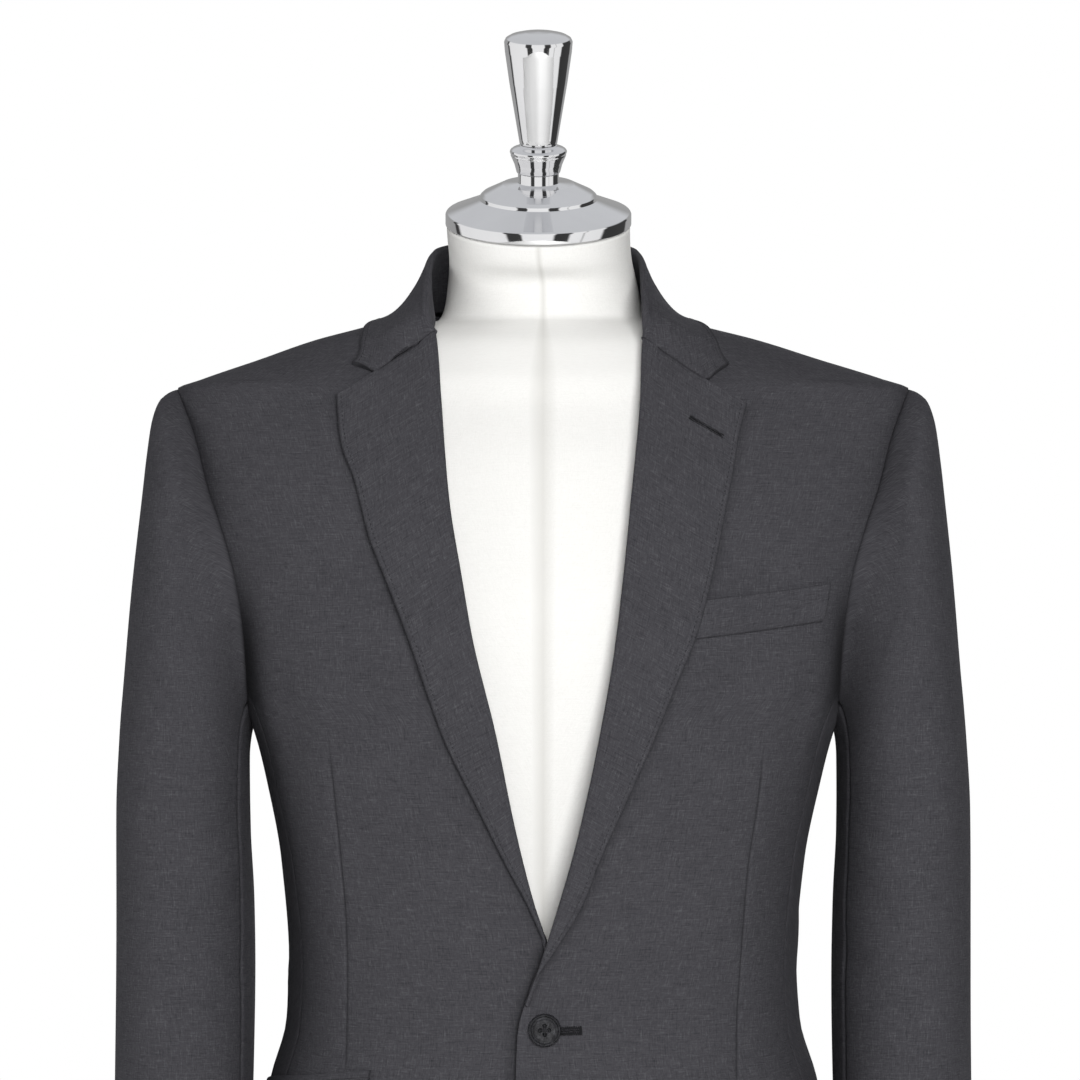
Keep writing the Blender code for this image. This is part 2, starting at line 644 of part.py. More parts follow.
def waistband():
    rows = []
    for z in (WAISTBAND_FOOT, WAISTBAND_TOP):
        rows.append([form.point(360 * j / FORM_SIDES, z, .0029) for j in range(FORM_SIDES)])
    return cloth("trouser_waistband", rows, 1, .0022, ring=True)


def fly():
    rows = []
    for z in steps(.915, TROUSER_TOP, 4):
        curve_in = 1 - .8 * (1 - fade(z, .900, .950))
        row = []
        for degrees in steps(-1.5, 15.5 * curve_in, 3):
            row.append(hips.point(degrees, z, LAYER + GAP))
        rows.append(row)
    return cloth("trouser_fly", rows, 1)


BUTTON_RIM = [(.0030, 0), (.0030, .0055), (.0036, .0072), (.0040, .0085), (.0036, .0097),
              (.0024, .0100), (.0008, .0080), (0, .0045), (0, 0)]


def front_button(name, x, z):
    seat = jacket[1].point(jacket[1].degrees(x, z), z, front_lift(1, x, z) + GAP)
    ob = turned(name, BUTTON_RIM, HORN, 0, .4, 24, seat, 90)
    made = []
    for turn in range(4):
        angle = math.radians(90 * turn)
        bpy.ops.mesh.primitive_cylinder_add(vertices=8, radius=.0009, depth=.02)
        pin = bpy.context.object
        pin.name = f"{name}_hole_{turn}"
        for home in list(pin.users_collection):
            home.objects.unlink(pin)
        cutters.objects.link(pin)
        pin.rotation_euler = (math.radians(90), 0, 0)
        pin.location = seat + Vector((.0026 * math.cos(angle), 0, .0026 * math.sin(angle)))
        pin.hide_render = True
        pin.display_type = "WIRE"
        made.append(pin)
    for pin in made:
        cut = ob.modifiers.new(pin.name, "BOOLEAN")
        cut.operation = "DIFFERENCE"
        cut.solver = "EXACT"
        cut.object = pin


CUFF_RIM = [(.0026, 0), (.0026, .0045), (.0032, .0062), (.0026, .0073), (.0012, .0070), (0, .0040), (0, 0)]


# Four small buttons up the back seam of each cuff.
def cuff_buttons(side):
    for number in range(4):
        height = CUFF_BUTTON_FOOT + CUFF_BUTTON_STEP * number
        ring = SLEEVE_LAST - (height - .82) / .05
        seat = sleeve_point(-84, ring)
        near = sleeve_point(-80, ring)
        above = sleeve_point(-84, ring - .2)
        out = (near - seat).cross(above - seat).normalized()
        if out[1] < 0:
            out = -out
        seat = seat + out * .0003
        ob = turned(f"cuff_button_{SIDE_NAME[side]}_{number + 1}", CUFF_RIM, HORN, 0, .4, 12,
                    (seat[0] * side, seat[1], seat[2]))
        out = Vector((out[0] * side, out[1], out[2]))
        ob.rotation_mode = "QUATERNION"
        ob.rotation_quaternion = out.to_track_quat("Z", "Y")


def build():
    for side in (1, -1):
        front_panel(side)
        side_panel(side)
        back_panel(side)
        lapel(side)
        sleeve_piece("sleeve_top", side, BACK_SEAM, FRONT_SEAM, 12)
        sleeve_piece("sleeve_under", side, FRONT_SEAM + 2, BACK_SEAM + 358.5, 5)
        pockets(side)
        cuff_buttons(side)
        trouser_piece("front", side)
        trouser_piece("back", side)
    collar()
    breast_welt()
    front_button("front_button_upper", BUTTON_X, BUTTON_HEIGHTS[0])
    front_button("front_button_lower", BUTTON_X, BUTTON_HEIGHTS[1])
    waistband()
    fly()
    dress_form()
    cap = Vector(CAP_CENTRE)
    turned("neck_cap", CAP_PROFILE, CHROME, 1, .12, 40, cap, CAP_TILT)
    turned("cap_ring", RING_PROFILE, CHROME, 1, .12, 24, cap, CAP_TILT)
    turned("finial", FINIAL_PROFILE, CHROME, 1, .12, 28, cap, CAP_TILT)
    turned("base_plate", BASE_PROFILE, CHROME, 1, .2, 48, (0, 0, 0))
    pole = [(FORM_FOOT - SEAM, 0), (FORM_FOOT - SEAM, POLE_RADIUS), (.030, POLE_RADIUS),
            (.030, .024), (.027, .027), (BASE_THICK + SEAM, FLANGE_RADIUS), (BASE_THICK + SEAM, 0)]
    turned("pole", pole, CHROME, 1, .12, 24, (POLE_X, 0, 0))


build()
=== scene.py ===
import math

import bmesh
import bpy
import numpy as np
from mathutils import Matrix, Vector


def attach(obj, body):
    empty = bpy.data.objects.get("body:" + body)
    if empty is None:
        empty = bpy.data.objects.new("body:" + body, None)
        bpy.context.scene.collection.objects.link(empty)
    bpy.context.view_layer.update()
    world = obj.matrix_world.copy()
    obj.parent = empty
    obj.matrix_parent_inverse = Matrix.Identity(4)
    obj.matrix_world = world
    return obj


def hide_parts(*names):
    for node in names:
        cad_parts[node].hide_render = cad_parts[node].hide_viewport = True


# Looks for a two-piece suit on a dress form. Own-side x is positive on both halves of the suit.
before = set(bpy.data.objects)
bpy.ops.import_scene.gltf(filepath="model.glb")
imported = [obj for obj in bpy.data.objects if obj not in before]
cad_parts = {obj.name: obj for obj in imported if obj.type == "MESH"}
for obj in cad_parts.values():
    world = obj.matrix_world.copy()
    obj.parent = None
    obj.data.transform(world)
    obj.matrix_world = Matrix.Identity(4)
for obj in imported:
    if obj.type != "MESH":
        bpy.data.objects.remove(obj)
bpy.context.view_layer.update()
print("frame loaded")

suit = {
    "layer": .0022,          # lift from one layer to the next
    "hem": .760,
    "underarm": 1.2315,
    "shoulderTip": 1.444,
    "neckPoint": 1.4915,
    "sideFront": 66.0,       # degrees round from centre front
    "rollStart": 1.060,      # where the front edge turns into the roll line
    "lapelFoot": 1.0690,
}
# height, half width, front depth, back depth, roundness, centre y
jacketStations = [
    (.7600, .1880, .1380, .1280, 2.30, .000), (.8500, .1870, .1380, .1300, 2.30, .000),
    (.9600, .1800, .1375, .1180, 2.30, .000), (1.0110, .1718, .1360, .1050, 2.30, .000),
    (1.0480, .1614, .1335, .0940, 2.30, .000), (1.0850, .1594, .1300, .0880, 2.30, .000),
    (1.1480, .1645, .1280, .0960, 2.35, .000), (1.1990, .1746, .1275, .1060, 2.40, .000),
    (1.2315, .1829, .1270, .1130, 2.40, .000), (1.2600, .1955, .1265, .1180, 2.40, .000),
    (1.3000, .2055, .1250, .1230, 2.40, .000), (1.3500, .2160, .1180, .1260, 2.40, .002),
    (1.4000, .2240, .1050, .1220, 2.30, .004), (1.4440, .2300, .0860, .1080, 2.20, .006),
    (1.4498, .2147, .0830, .1060, 2.20, .006), (1.4623, .1765, .0775, .1000, 2.15, .007),
    (1.4749, .1385, .0715, .0930, 2.10, .008), (1.4820, .1110, .0665, .0865, 2.07, .009),
    (1.4863, .0945, .0635, .0820, 2.03, .009), (1.4915, .0735, .0590, .0740, 2.00, .010),
    (1.5080, .0715, .0540, .0690, 2.00, .010),
]
# height, how far the top of the jacket sits over to the wearer's right
neckLean = [(1.4440, .0000), (1.4498, .0006), (1.4623, .0025), (1.4749, .0045), (1.4863, .0055), (1.5080, .0055)]
# height, distance from the centre plane
armholeLine = [(1.2315, .1829), (1.2400, .1836), (1.2750, .1848), (1.3040, .1868), (1.3300, .1910),
               (1.3590, .1996), (1.3800, .2076), (1.4150, .2178), (1.4440, .2300)]
rollLine = {
    1: [(1.0600, -.0141), (1.0715, -.0104), (1.0834, -.0060), (1.0948, -.0022), (1.1127, .0035),
        (1.1649, .0185), (1.2273, .0324), (1.2771, .0414), (1.3252, .0475), (1.3735, .0525),
        (1.4347, .0585), (1.4716, .0602), (1.4915, .0720)],
    -1: [(1.0600, -.0141), (1.0715, -.0103), (1.0870, -.0055), (1.1091, -.0017), (1.1319, .0055),
         (1.1733, .0159), (1.2333, .0283), (1.2891, .0419), (1.3252, .0483), (1.3735, .0563),
         (1.4347, .0617), (1.4755, .0653), (1.4915, .0720)],
}
lapelEdge = {
    1: [(1.0660, -.0115), (1.0745, -.0077), (1.0865, -.0030), (1.0989, .0052), (1.1312, .0242),
        (1.1546, .0330), (1.1917, .0498),
        (1.2289, .0667), (1.2656, .0812), (1.2908, .0915), (1.3299, .1020), (1.3590, .1083),
        (1.3924, .1154), (1.4114, .1188), (1.4312, .1241)],
    -1: [(1.0745, -.0079), (1.0930, -.0065), (1.1079, .0000), (1.1331, .0115), (1.1486, .0199),
         (1.1858, .0385), (1.2290, .0596), (1.2884, .0802), (1.3257, .0948), (1.3505, .1047),
         (1.3845, .1142), (1.4096, .1232), (1.4368, .1262)],
}
frontEdge = [(.7600, .0620), (.7680, .0420), (.7850, .0230), (.8200, .0070), (.8700, -.0050),
             (.9300, -.0140), (.9700, -.0162), (1.0257, -.0163), (1.0507, -.0154), (1.0600, -.0141)]
dartLine = {
    1: [(1.0220, .1180), (1.0484, .1182), (1.1000, .1215), (1.1523, .1258), (1.1943, .1318), (1.2260, .1344)],
    -1: [(1.0290, .1201), (1.0795, .1197), (1.1208, .1210), (1.1549, .1240), (1.2048, .1287), (1.2310, .1311)],
}
# gorge: x and z of the roll line's top, of the lapel's corner and of the collar's corner
gorge = {1: (.0602, 1.4716, .1241, 1.4312, .1136, 1.4556), -1: (.0653, 1.4755, .1262, 1.4368, .1168, 1.4562)}
sideName = {1: "left", -1: "right"}
sideTitle = {1: "Left", -1: "Right"}


def smoothCurve(rows, column=1):
    xs = np.array([row[0] for row in rows], float)
    ys = np.array([row[column] for row in rows], float)
    step = np.diff(xs)
    rise = np.diff(ys) / step
    tangent = np.zeros(len(xs))
    tangent[0], tangent[-1] = rise[0], rise[-1]
    for i in range(1, len(xs) - 1):
        if rise[i - 1] * rise[i] > 0:
            near, far = 2 * step[i] + step[i - 1], step[i] + 2 * step[i - 1]
            tangent[i] = (near + far) / (near / rise[i - 1] + far / rise[i])

    def value(at):
        at = np.clip(at, xs[0], xs[-1])
        i = np.clip(np.searchsorted(xs, at, side="right") - 1, 0, len(xs) - 2)
        t = (at - xs[i]) / step[i]
        first = (1 + 2 * t) * (1 - t) ** 2 * ys[i] + t * (1 - t) ** 2 * step[i] * tangent[i]
        second = t * t * (3 - 2 * t) * ys[i + 1] + t * t * (t - 1) * step[i] * tangent[i + 1]
        return first + second

    return value


def curves(rows, *columns):
    return [smoothCurve(rows, column) for column in columns]


def fade(at, start, end):
    t = np.clip((at - start) / (end - start), 0, 1)
    return t * t * (3 - 2 * t)


def mix(a, b, t):
    return a + (b - a) * t


def bell(distance, width):
    return np.exp(-(distance / width) ** 2)


def unit(vectors):
    return vectors / np.maximum(np.linalg.norm(vectors, axis=-1, keepdims=True), 1e-12)


class Trunk:
    def __init__(self, stations, slack=0.0):
        self.slack = slack
        self.width, self.front, self.back, self.power, self.centre = curves(stations, 1, 2, 3, 4, 5)

    def flat(self, degrees, z):
        degrees, z = np.broadcast_arrays(np.asarray(degrees, float), np.asarray(z, float))
        angle = np.radians(degrees)
        power = self.power(z)
        s, c = np.sin(angle), np.cos(angle)
        reach = (np.abs(s) ** power + np.abs(c) ** power) ** (-1 / power)
        depth = np.where(c > 0, self.front(z), self.back(z))
        toSide = self.width(z) * (1 - np.abs(reach * s))
        hang = self.slack * bell(toSide, .020) * (1 - fade(z, 1.195, 1.262))
        return np.stack([self.width(z) * reach * s, self.centre(z) - depth * reach * c + hang, z], -1)

    def normal(self, degrees, z):
        z = np.asarray(z, float)
        along = self.flat(degrees + 1, z) - self.flat(degrees - 1, z)
        low = np.maximum(z - .002, suit["hem"])
        high = np.minimum(z + .002, suit["neckPoint"])
        return unit(np.cross(along, self.flat(degrees, high) - self.flat(degrees, low)))

    def point(self, degrees, z, lift=0.0):
        lift = np.asarray(lift, float)
        return self.flat(degrees, z) + self.normal(degrees, z) * lift[..., None]

    def degrees(self, x, z):
        power = self.power(z)
        share = np.minimum(np.abs(x) / self.width(z), 1.0)
        other = np.maximum(1 - share ** power, 0) ** (1 / power)
        return np.copysign(np.degrees(np.arctan2(share, other)), x)


leanAt = smoothCurve(neckLean)
jacket = {side: Trunk([(row[0], row[1] - side * float(leanAt(row[0]))) + row[2:] for row in jacketStations], .013)
          for side in (1, -1)}
armholeX = smoothCurve(armholeLine)
frontEdgeX = smoothCurve(frontEdge)
rollX, lapelX, dartX = [{side: smoothCurve(line[side]) for side in (1, -1)} for line in (rollLine, lapelEdge, dartLine)]


# Soft unevenness of worn cloth
# side, degrees and height of one end, degrees and height of the other, half width, rise
jacketFolds = [
    (1, 8, 1.075, 34, 1.118, .011, .0007), (1, 10, 1.030, 38, 1.004, .012, .0006),
    (-1, 6, 1.078, 30, 1.128, .012, .0008), (-1, 12, 1.030, 44, 1.012, .013, .0006),
    (1, 56, 1.330, 61, 1.180, .014, .0016), (-1, 55, 1.320, 62, 1.165, .015, .0014),
    (1, 48, 1.300, 54, 1.200, .010, -.0010), (-1, 47, 1.290, 53, 1.210, .011, -.0010),
    (1, 30, .985, 36, .780, .020, .0016), (-1, 26, .975, 33, .790, .022, .0014),
    (1, 60, .960, 58, .770, .018, -.0016), (-1, 64, .970, 61, .775, .019, -.0015),
    (1, 124, 1.340, 121, 1.190, .013, .0050), (-1, 125, 1.350, 122, 1.200, .014, .0046),
    (1, 134, 1.290, 150, 1.130, .016, -.0026), (-1, 138, 1.310, 153, 1.150, .017, -.0024),
    (1, 126, 1.140, 164, 1.085, .008, .0032), (-1, 130, 1.120, 168, 1.090, .009, .0028),
    (1, 122, 1.095, 150, 1.060, .008, -.0014), (-1, 126, 1.075, 158, 1.055, .008, -.0013),
    (1, 152, .960, 147, .775, .018, .0038), (-1, 155, .950, 152, .770, .019, .0034),
    (1, 134, .930, 131, .775, .014, -.0022), (-1, 138, .920, 134, .780, .014, -.0020),
    (1, 168, 1.440, 132, 1.455, .009, .0012), (-1, 170, 1.436, 136, 1.450, .010, .0012),
    (1, 104, 1.120, 80, 1.085, .009, .0012), (-1, 108, 1.100, 84, 1.070, .009, .0012),
]


# Lift of the listed creases: how far one unit across is, and how strong a crease is at its ends.
def foldLift(folds, side, across, z, metresPerUnit, atEnds, trim=.02):
    lift = 0
    for whose, a0, z0, a1, z1, width, rise in folds:
        if whose == side:
            ax, az = (across - a0) * metresPerUnit, z - z0
            bx, bz = (a1 - a0) * metresPerUnit, z1 - z0
            t = np.clip((ax * bx + az * bz) / (bx * bx + bz * bz), 0, 1)
            strong = atEnds + (1 - atEnds) * np.sin(np.pi * np.clip(t, trim, 1 - trim))
            lift = lift + rise * bell(np.hypot(ax - t * bx, az - t * bz), width) * strong
    return lift


def jacketWave(side, degrees, z):
    lift = .0004 * np.sin(np.radians(degrees * 5.3) + 9 * z + 1.1 * side) * np.sin(17 * z + side)
    lift = lift + .0003 * np.sin(np.radians(degrees * 11) - 23 * z + 2.0 * side)
    lift = lift + foldLift(jacketFolds, side, degrees, z, .0029, .35)
    return lift * (1 - .8 * fade(z, 1.43, 1.47))


def frontLift(side, x, z):
    lift = jacketWave(side, jacket[side].degrees(x, z), z)
    if side > 0:
        overLapel = fade(z, 1.040, 1.062) * (1 - fade(z, 1.150, 1.200))
        edge = (1 - fade(x, .024, .070)) * (1 - fade(z, 1.20, 1.26))
        rim = .0007 * bell(x - frontEdgeX(z) - .0014, .0014) * (1 - fade(z, 1.045, 1.060))
        lift = lift + suit["layer"] * (1.5 + .75 * overLapel) * edge + rim
    return lift


# Meshes
def arcAcross(points):
    steps = np.linalg.norm(np.diff(points, axis=1), axis=-1)
    return np.concatenate([np.zeros((len(points), 1)), np.cumsum(steps, axis=1)], axis=1)


def arcAlong(points):
    steps = np.linalg.norm(np.diff(points, axis=0), axis=-1)
    return np.concatenate([np.zeros((1, points.shape[1])), np.cumsum(steps, axis=0)], axis=0)


def lineLengths(line):
    return np.concatenate([[0], np.cumsum(np.linalg.norm(np.diff(line, axis=0), axis=1))])


def gridNormals(points):
    return unit(np.cross(np.gradient(points, axis=1), np.gradient(points, axis=0)))


def gridFaces(rows, across, ring=True, flip=False):
    index = np.arange(rows * across).reshape(rows, across)
    if ring:
        index = np.concatenate([index, index[:, :1]], axis=1)
    faces = np.stack([index[:-1, :-1], index[:-1, 1:], index[1:, 1:], index[1:, :-1]], -1).reshape(-1, 4)
    return (faces[:, ::-1] if flip else faces).tolist()


# How far each column of a grid is from the nearer side edge.
def toSides(points):
    arc = arcAcross(points)
    return np.minimum(arc, arc[:, -1:] - arc)


def putInScene(name, mesh, smooth=True):
    obj = bpy.data.objects.new(name, mesh)
    bpy.context.scene.collection.objects.link(obj)
    for polygon in mesh.polygons:
        polygon.use_smooth = smooth
    return obj


# Distances for columns or rows: even in the middle, close together at the ends asked for.
def spread(length, spacing, start=True, end=True, close=(0, .0006, .0013, .0022, .0034, .0052)):
    near = list(close) if start else [0]
    far = [length - d for d in close][::-1] if end else [length]
    count = max(int((far[0] - near[-1]) / spacing), 1)
    middle = list(np.linspace(near[-1], far[0], count + 1))[1:-1]
    return np.array(near + middle + far) / length


def addSheet(name, points, side=1, thick=None, ring=False, shade=None, rim=.0005, material="suitCloth", level=True):
    rows, across = points.shape[:2]
    place = points.copy()
    place[..., 0] *= side
    mesh = bpy.data.meshes.new(name)
    mesh.from_pydata(place.reshape(-1, 3).tolist(), [], gridFaces(rows, across, ring, side < 0))
    u, v = arcAcross(points), arcAlong(points)
    flatU = (u - u[:, -1:] * .5).reshape(-1)
    flatV = (v.mean(axis=1, keepdims=True).repeat(across, axis=1) if level else v).reshape(-1)
    layer = mesh.uv_layers.new(name="clothWay")
    loops = np.zeros(len(mesh.loops), np.int32)
    mesh.loops.foreach_get("vertex_index", loops)
    layer.data.foreach_set("uv", np.stack([flatU[loops], flatV[loops]], -1).astype(np.float32).reshape(-1))
    # paintedShade: painted shade put into the cloth's colour, in seam grooves, creases, hollows and under overlapping
    # pieces
    seam = mesh.attributes.new("paintedShade", "FLOAT", "POINT")
    values = np.zeros(rows * across) if shade is None else np.clip(shade, 0, 1).reshape(-1)
    seam.data.foreach_set("value", values.astype(np.float32))
    obj = putInScene(name, mesh)
    if thick:
        shell = obj.modifiers.new("thickness", "SOLIDIFY")
        shell.thickness, shell.offset = thick, -1
        soft = obj.modifiers.new("soft rim", "BEVEL")
        soft.width, soft.segments, soft.limit_method = rim, 2, "ANGLE"
        soft.angle_limit = math.radians(55)
        soft.harden_normals = True
    obj.data.materials.append(materials[material])
    return obj


def addMesh(name, points, faces, material, smooth=True):
    mesh = bpy.data.meshes.new(name)
    mesh.from_pydata([tuple(p) for p in points], [], faces)
    obj = putInScene(name, mesh, smooth)
    obj.data.materials.append(materials[material])
    return obj


def flatSize(points, ring=False):
    across = arcAcross(points)[:, -1]
    if ring:
        across = across + np.linalg.norm(points[:, 0] - points[:, -1], axis=-1)
    along = arcAlong(points)[-1]
    step = .5 * (across[1:] + across[:-1]) * np.diff(arcAlong(points).mean(axis=1))
    width, length = round(float(across.max()), 3), round(float(along.max()), 3)
    return width, length, min(round(float(step.sum()), 5), width * length)


sheets = []
trims = {}


def ownSolid(obj, nodes=()):
    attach(obj, "root")
    if nodes:
        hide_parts(*nodes)


# One cloth piece: it rides, stands for its solid and says its flat cut.
def finishCloth(obj, points, nodes, held, restsOn, ring=False):
    width, length, area = flatSize(points, ring)
    ownSolid(obj, nodes)
    sheets.append((obj, (width, length), held, restsOn, area))


# Materials
materials = {}


def nodeMaker(tree):
    def make(kind, **values):
        node = tree.nodes.new(kind)
        for key, value in values.items():
            if key in node.inputs:
                node.inputs[key].default_value = value
            else:
                setattr(node, key, value)
        return node
    return make


# Fine threads both ways with the slubs and heather of a worsted yarn, none of it repeating.
def buildWeaveGroup():
    group = bpy.data.node_groups.new("wovenThreads", "ShaderNodeTree")
    face = group.interface
    face.new_socket("Way", in_out="INPUT", socket_type="NodeSocketVector")
    for label, value in (("Thread", .5), ("Slub", .5), ("Heather", .5)):
        face.new_socket(label, in_out="INPUT", socket_type="NodeSocketFloat").default_value = value
    face.new_socket("Tone", in_out="OUTPUT", socket_type="NodeSocketFloat")
    face.new_socket("Height", in_out="OUTPUT", socket_type="NodeSocketFloat")
    make = nodeMaker(group)
    link = group.links.new
    inward = group.nodes.new("NodeGroupInput")
    outward = group.nodes.new("NodeGroupOutput")

    def math2(operation, a, b, clamp=False):
        node = make("ShaderNodeMath", operation=operation, use_clamp=clamp)
        for socket, value in zip(node.inputs, (a, b)):
            if isinstance(value, (int, float)):
                socket.default_value = value
            else:
                link(value, socket)
        return node.outputs[0]

    def streaks(across, along, detail, shift=0.0):
        stretch = make("ShaderNodeMapping", vector_type="POINT")
        stretch.inputs["Scale"].default_value = (across, along, 1)
        stretch.inputs["Location"].default_value = (shift, shift * 1.7, 0)
        link(inward.outputs["Way"], stretch.inputs[0])
        grain = make("ShaderNodeTexNoise", Scale=1.0, Detail=detail, Roughness=.55)
        link(stretch.outputs[0], grain.inputs["Vector"])
        return math2("SUBTRACT", grain.outputs["Fac"], .5)

    # only the strongest part of a streak counts, so that slubs lie apart as short dashes
    def dashes(across, along, shift):
        node = make("ShaderNodeMapRange", interpolation_type="SMOOTHSTEP")
        link(streaks(across, along, 1, shift), node.inputs["Value"])
        node.inputs["From Min"].default_value, node.inputs["From Max"].default_value = .04, .20
        return node.outputs[0]

    thread = math2("ADD", streaks(2100, 420, 1), streaks(460, 2300, 1, 3.1))
    slub = math2("SUBTRACT", math2("ADD", dashes(95, 1250, 0.0), dashes(1150, 120, 5.0)),
                 math2("ADD", dashes(80, 1050, 9.0), dashes(1300, 105, 14.0)))
    heather = math2("ADD", streaks(520, 640, 3), math2("MULTIPLY", streaks(26, 34, 2), .35))
    tone = math2("ADD", math2("ADD", math2("MULTIPLY", thread, inward.outputs["Thread"]), .5),
                 math2("ADD", math2("MULTIPLY", slub, inward.outputs["Slub"]),
                       math2("MULTIPLY", heather, inward.outputs["Heather"])))
    link(math2("MULTIPLY", tone, 1, True), outward.inputs["Tone"])
    link(math2("ADD", thread, math2("MULTIPLY", slub, .35)), outward.inputs["Height"])
    return group


# Slow patchy change over a surface, for rubbed finishes, handled metal and aged cloth.
def buildPatinaGroup():
    group = bpy.data.node_groups.new("slowPatina", "ShaderNodeTree")
    face = group.interface
    face.new_socket("Place", in_out="INPUT", socket_type="NodeSocketVector")
    face.new_socket("Size", in_out="INPUT", socket_type="NodeSocketFloat").default_value = 12.0
    face.new_socket("Patch", in_out="OUTPUT", socket_type="NodeSocketFloat")
    face.new_socket("Speck", in_out="OUTPUT", socket_type="NodeSocketFloat")
    make = nodeMaker(group)
    link = group.links.new
    inward = group.nodes.new("NodeGroupInput")
    outward = group.nodes.new("NodeGroupOutput")
    slow = make("ShaderNodeTexNoise", Detail=3.0, Roughness=.5)
    link(inward.outputs["Place"], slow.inputs["Vector"])
    link(inward.outputs["Size"], slow.inputs["Scale"])
    quick = make("ShaderNodeTexNoise", Detail=5.0, Roughness=.65)
    finer = make("ShaderNodeMath", operation="MULTIPLY")
    finer.inputs[1].default_value = 14
    link(inward.outputs["Size"], finer.inputs[0])
    link(inward.outputs["Place"], quick.inputs["Vector"])
    link(finer.outputs[0], quick.inputs["Scale"])
    link(slow.outputs["Fac"], outward.inputs["Patch"])
    link(quick.outputs["Fac"], outward.inputs["Speck"])
    return group


weaveGroup = buildWeaveGroup()
patinaGroup = buildPatinaGroup()


def newMaterial(name):
    material = bpy.data.materials.new(name)
    material.use_nodes = True
    tree = material.node_tree
    shader = tree.nodes["Principled BSDF"]
    materials[name] = material
    return tree, shader, nodeMaker(tree), tree.links.new


def ramp(make, stops):
    node = make("ShaderNodeValToRGB")
    while len(node.color_ramp.elements) < len(stops):
        node.color_ramp.elements.new(.5)
    for element, (position, colour) in zip(node.color_ramp.elements, stops):
        element.position = position
        element.color = (*colour, 1)
    return node


def wovenMaterial(name, look):
    tree, shader, make, link = newMaterial(name)
    way = make("ShaderNodeUVMap", uv_map="clothWay")
    weave = make("ShaderNodeGroup", node_tree=weaveGroup)
    for label in ("Thread", "Slub", "Heather"):
        weave.inputs[label].default_value = look[label]
    link(way.outputs[0], weave.inputs["Way"])
    tone = ramp(make, look["tones"])
    link(weave.outputs["Tone"], tone.inputs[0])
    patina = make("ShaderNodeGroup", node_tree=patinaGroup)
    patina.inputs["Size"].default_value = look["patchSize"]
    place = make("ShaderNodeTexCoord")
    link(place.outputs["Object"], patina.inputs["Place"])
    slow = ramp(make, [(.3, (look["patchDark"],) * 3), (.7, (1, 1, 1))])
    link(patina.outputs["Patch"], slow.inputs[0])
    aged = make("ShaderNodeMix", data_type="RGBA", blend_type="MULTIPLY")
    aged.inputs["Factor"].default_value = 1
    link(tone.outputs[0], aged.inputs[6])
    link(slow.outputs[0], aged.inputs[7])
    # painted shade: the paintedShade mask darkens the colour toward the look's seam colour
    seam = make("ShaderNodeAttribute", attribute_name="paintedShade")
    paintedShadeMix = make("ShaderNodeMix", data_type="RGBA", blend_type="MIX")
    link(seam.outputs["Fac"], paintedShadeMix.inputs["Factor"])
    link(aged.outputs[2], paintedShadeMix.inputs[6])
    paintedShadeMix.inputs[7].default_value = (*look["seam"], 1)
    link(paintedShadeMix.outputs[2], shader.inputs["Base Color"])
    rough = make("ShaderNodeMapRange")
    link(patina.outputs["Speck"], rough.inputs["Value"])
    rough.inputs["To Min"].default_value, rough.inputs["To Max"].default_value = look["rough"]
    link(rough.outputs[0], shader.inputs["Roughness"])
    bump = make("ShaderNodeBump", Strength=look["bump"], Distance=look["depth"])
    link(weave.outputs["Height"], bump.inputs["Height"])
    link(bump.outputs[0], shader.inputs["Normal"])
    shader.inputs["Specular IOR Level"].default_value = look["specular"]
    shader.inputs["Sheen Weight"].default_value = look["sheen"]
    shader.inputs["Sheen Roughness"].default_value = .45
    shader.inputs["Sheen Tint"].default_value = (*look["sheenTint"], 1)


# seam is the colour that the painted shade darkens toward
wovenMaterial("suitCloth", {
    "Thread": .36, "Slub": .17, "Heather": .46,
    "tones": [(.05, (.026, .026, .029)), (.5, (.0485, .0475, .0535)), (.95, (.084, .083, .090))],
    "patchSize": 7.0, "patchDark": .94, "seam": (.010, .010, .011), "rough": (.80, .94),
    "bump": .45, "depth": .0003, "specular": .07, "sheen": .012, "sheenTint": (.75, .75, .80)})
wovenMaterial("coverCloth", {
    "Thread": .5, "Slub": .10, "Heather": .25,
    "tones": [(.05, (.69, .684, .665)), (.5, (.755, .749, .729)), (.95, (.805, .80, .783))],
    "patchSize": 5.0, "patchDark": .98, "seam": (.50, .49, .46), "rough": (.74, .88),
    "bump": .25, "depth": .0002, "specular": .15, "sheen": .02, "sheenTint": (1, 1, 1)})


def chromeMaterial(name, look):
    tree, shader, make, link = newMaterial(name)
    place = make("ShaderNodeTexCoord")
    patina = make("ShaderNodeGroup", node_tree=patinaGroup)
    patina.inputs["Size"].default_value = look["size"]
    link(place.outputs["Object"], patina.inputs["Place"])
    rough = make("ShaderNodeMapRange")
    link(patina.outputs["Speck"], rough.inputs["Value"])
    rough.inputs["From Min"].default_value, rough.inputs["From Max"].default_value = .35, .75
    rough.inputs["To Min"].default_value, rough.inputs["To Max"].default_value = look["rough"]
    link(rough.outputs[0], shader.inputs["Roughness"])
    tint = ramp(make, [(.3, look["dark"]), (.7, look["light"])])
    link(patina.outputs["Patch"], tint.inputs[0])
    link(tint.outputs[0], shader.inputs["Base Color"])
    bump = make("ShaderNodeBump", Strength=look["bump"], Distance=.0001)
    link(patina.outputs["Speck"], bump.inputs["Height"])
    link(bump.outputs[0], shader.inputs["Normal"])
    shader.inputs["Metallic"].default_value = 1


chromeMaterial("brightChrome", {"size": 22.0, "rough": (.035, .085), "dark": (.80, .80, .81),
                                "light": (.87, .87, .88), "bump": .012})
chromeMaterial("plateChrome", {"size": 9.0, "rough": (.14, .26), "dark": (.60, .60, .62),
                               "light": (.72, .72, .74), "bump": .03})


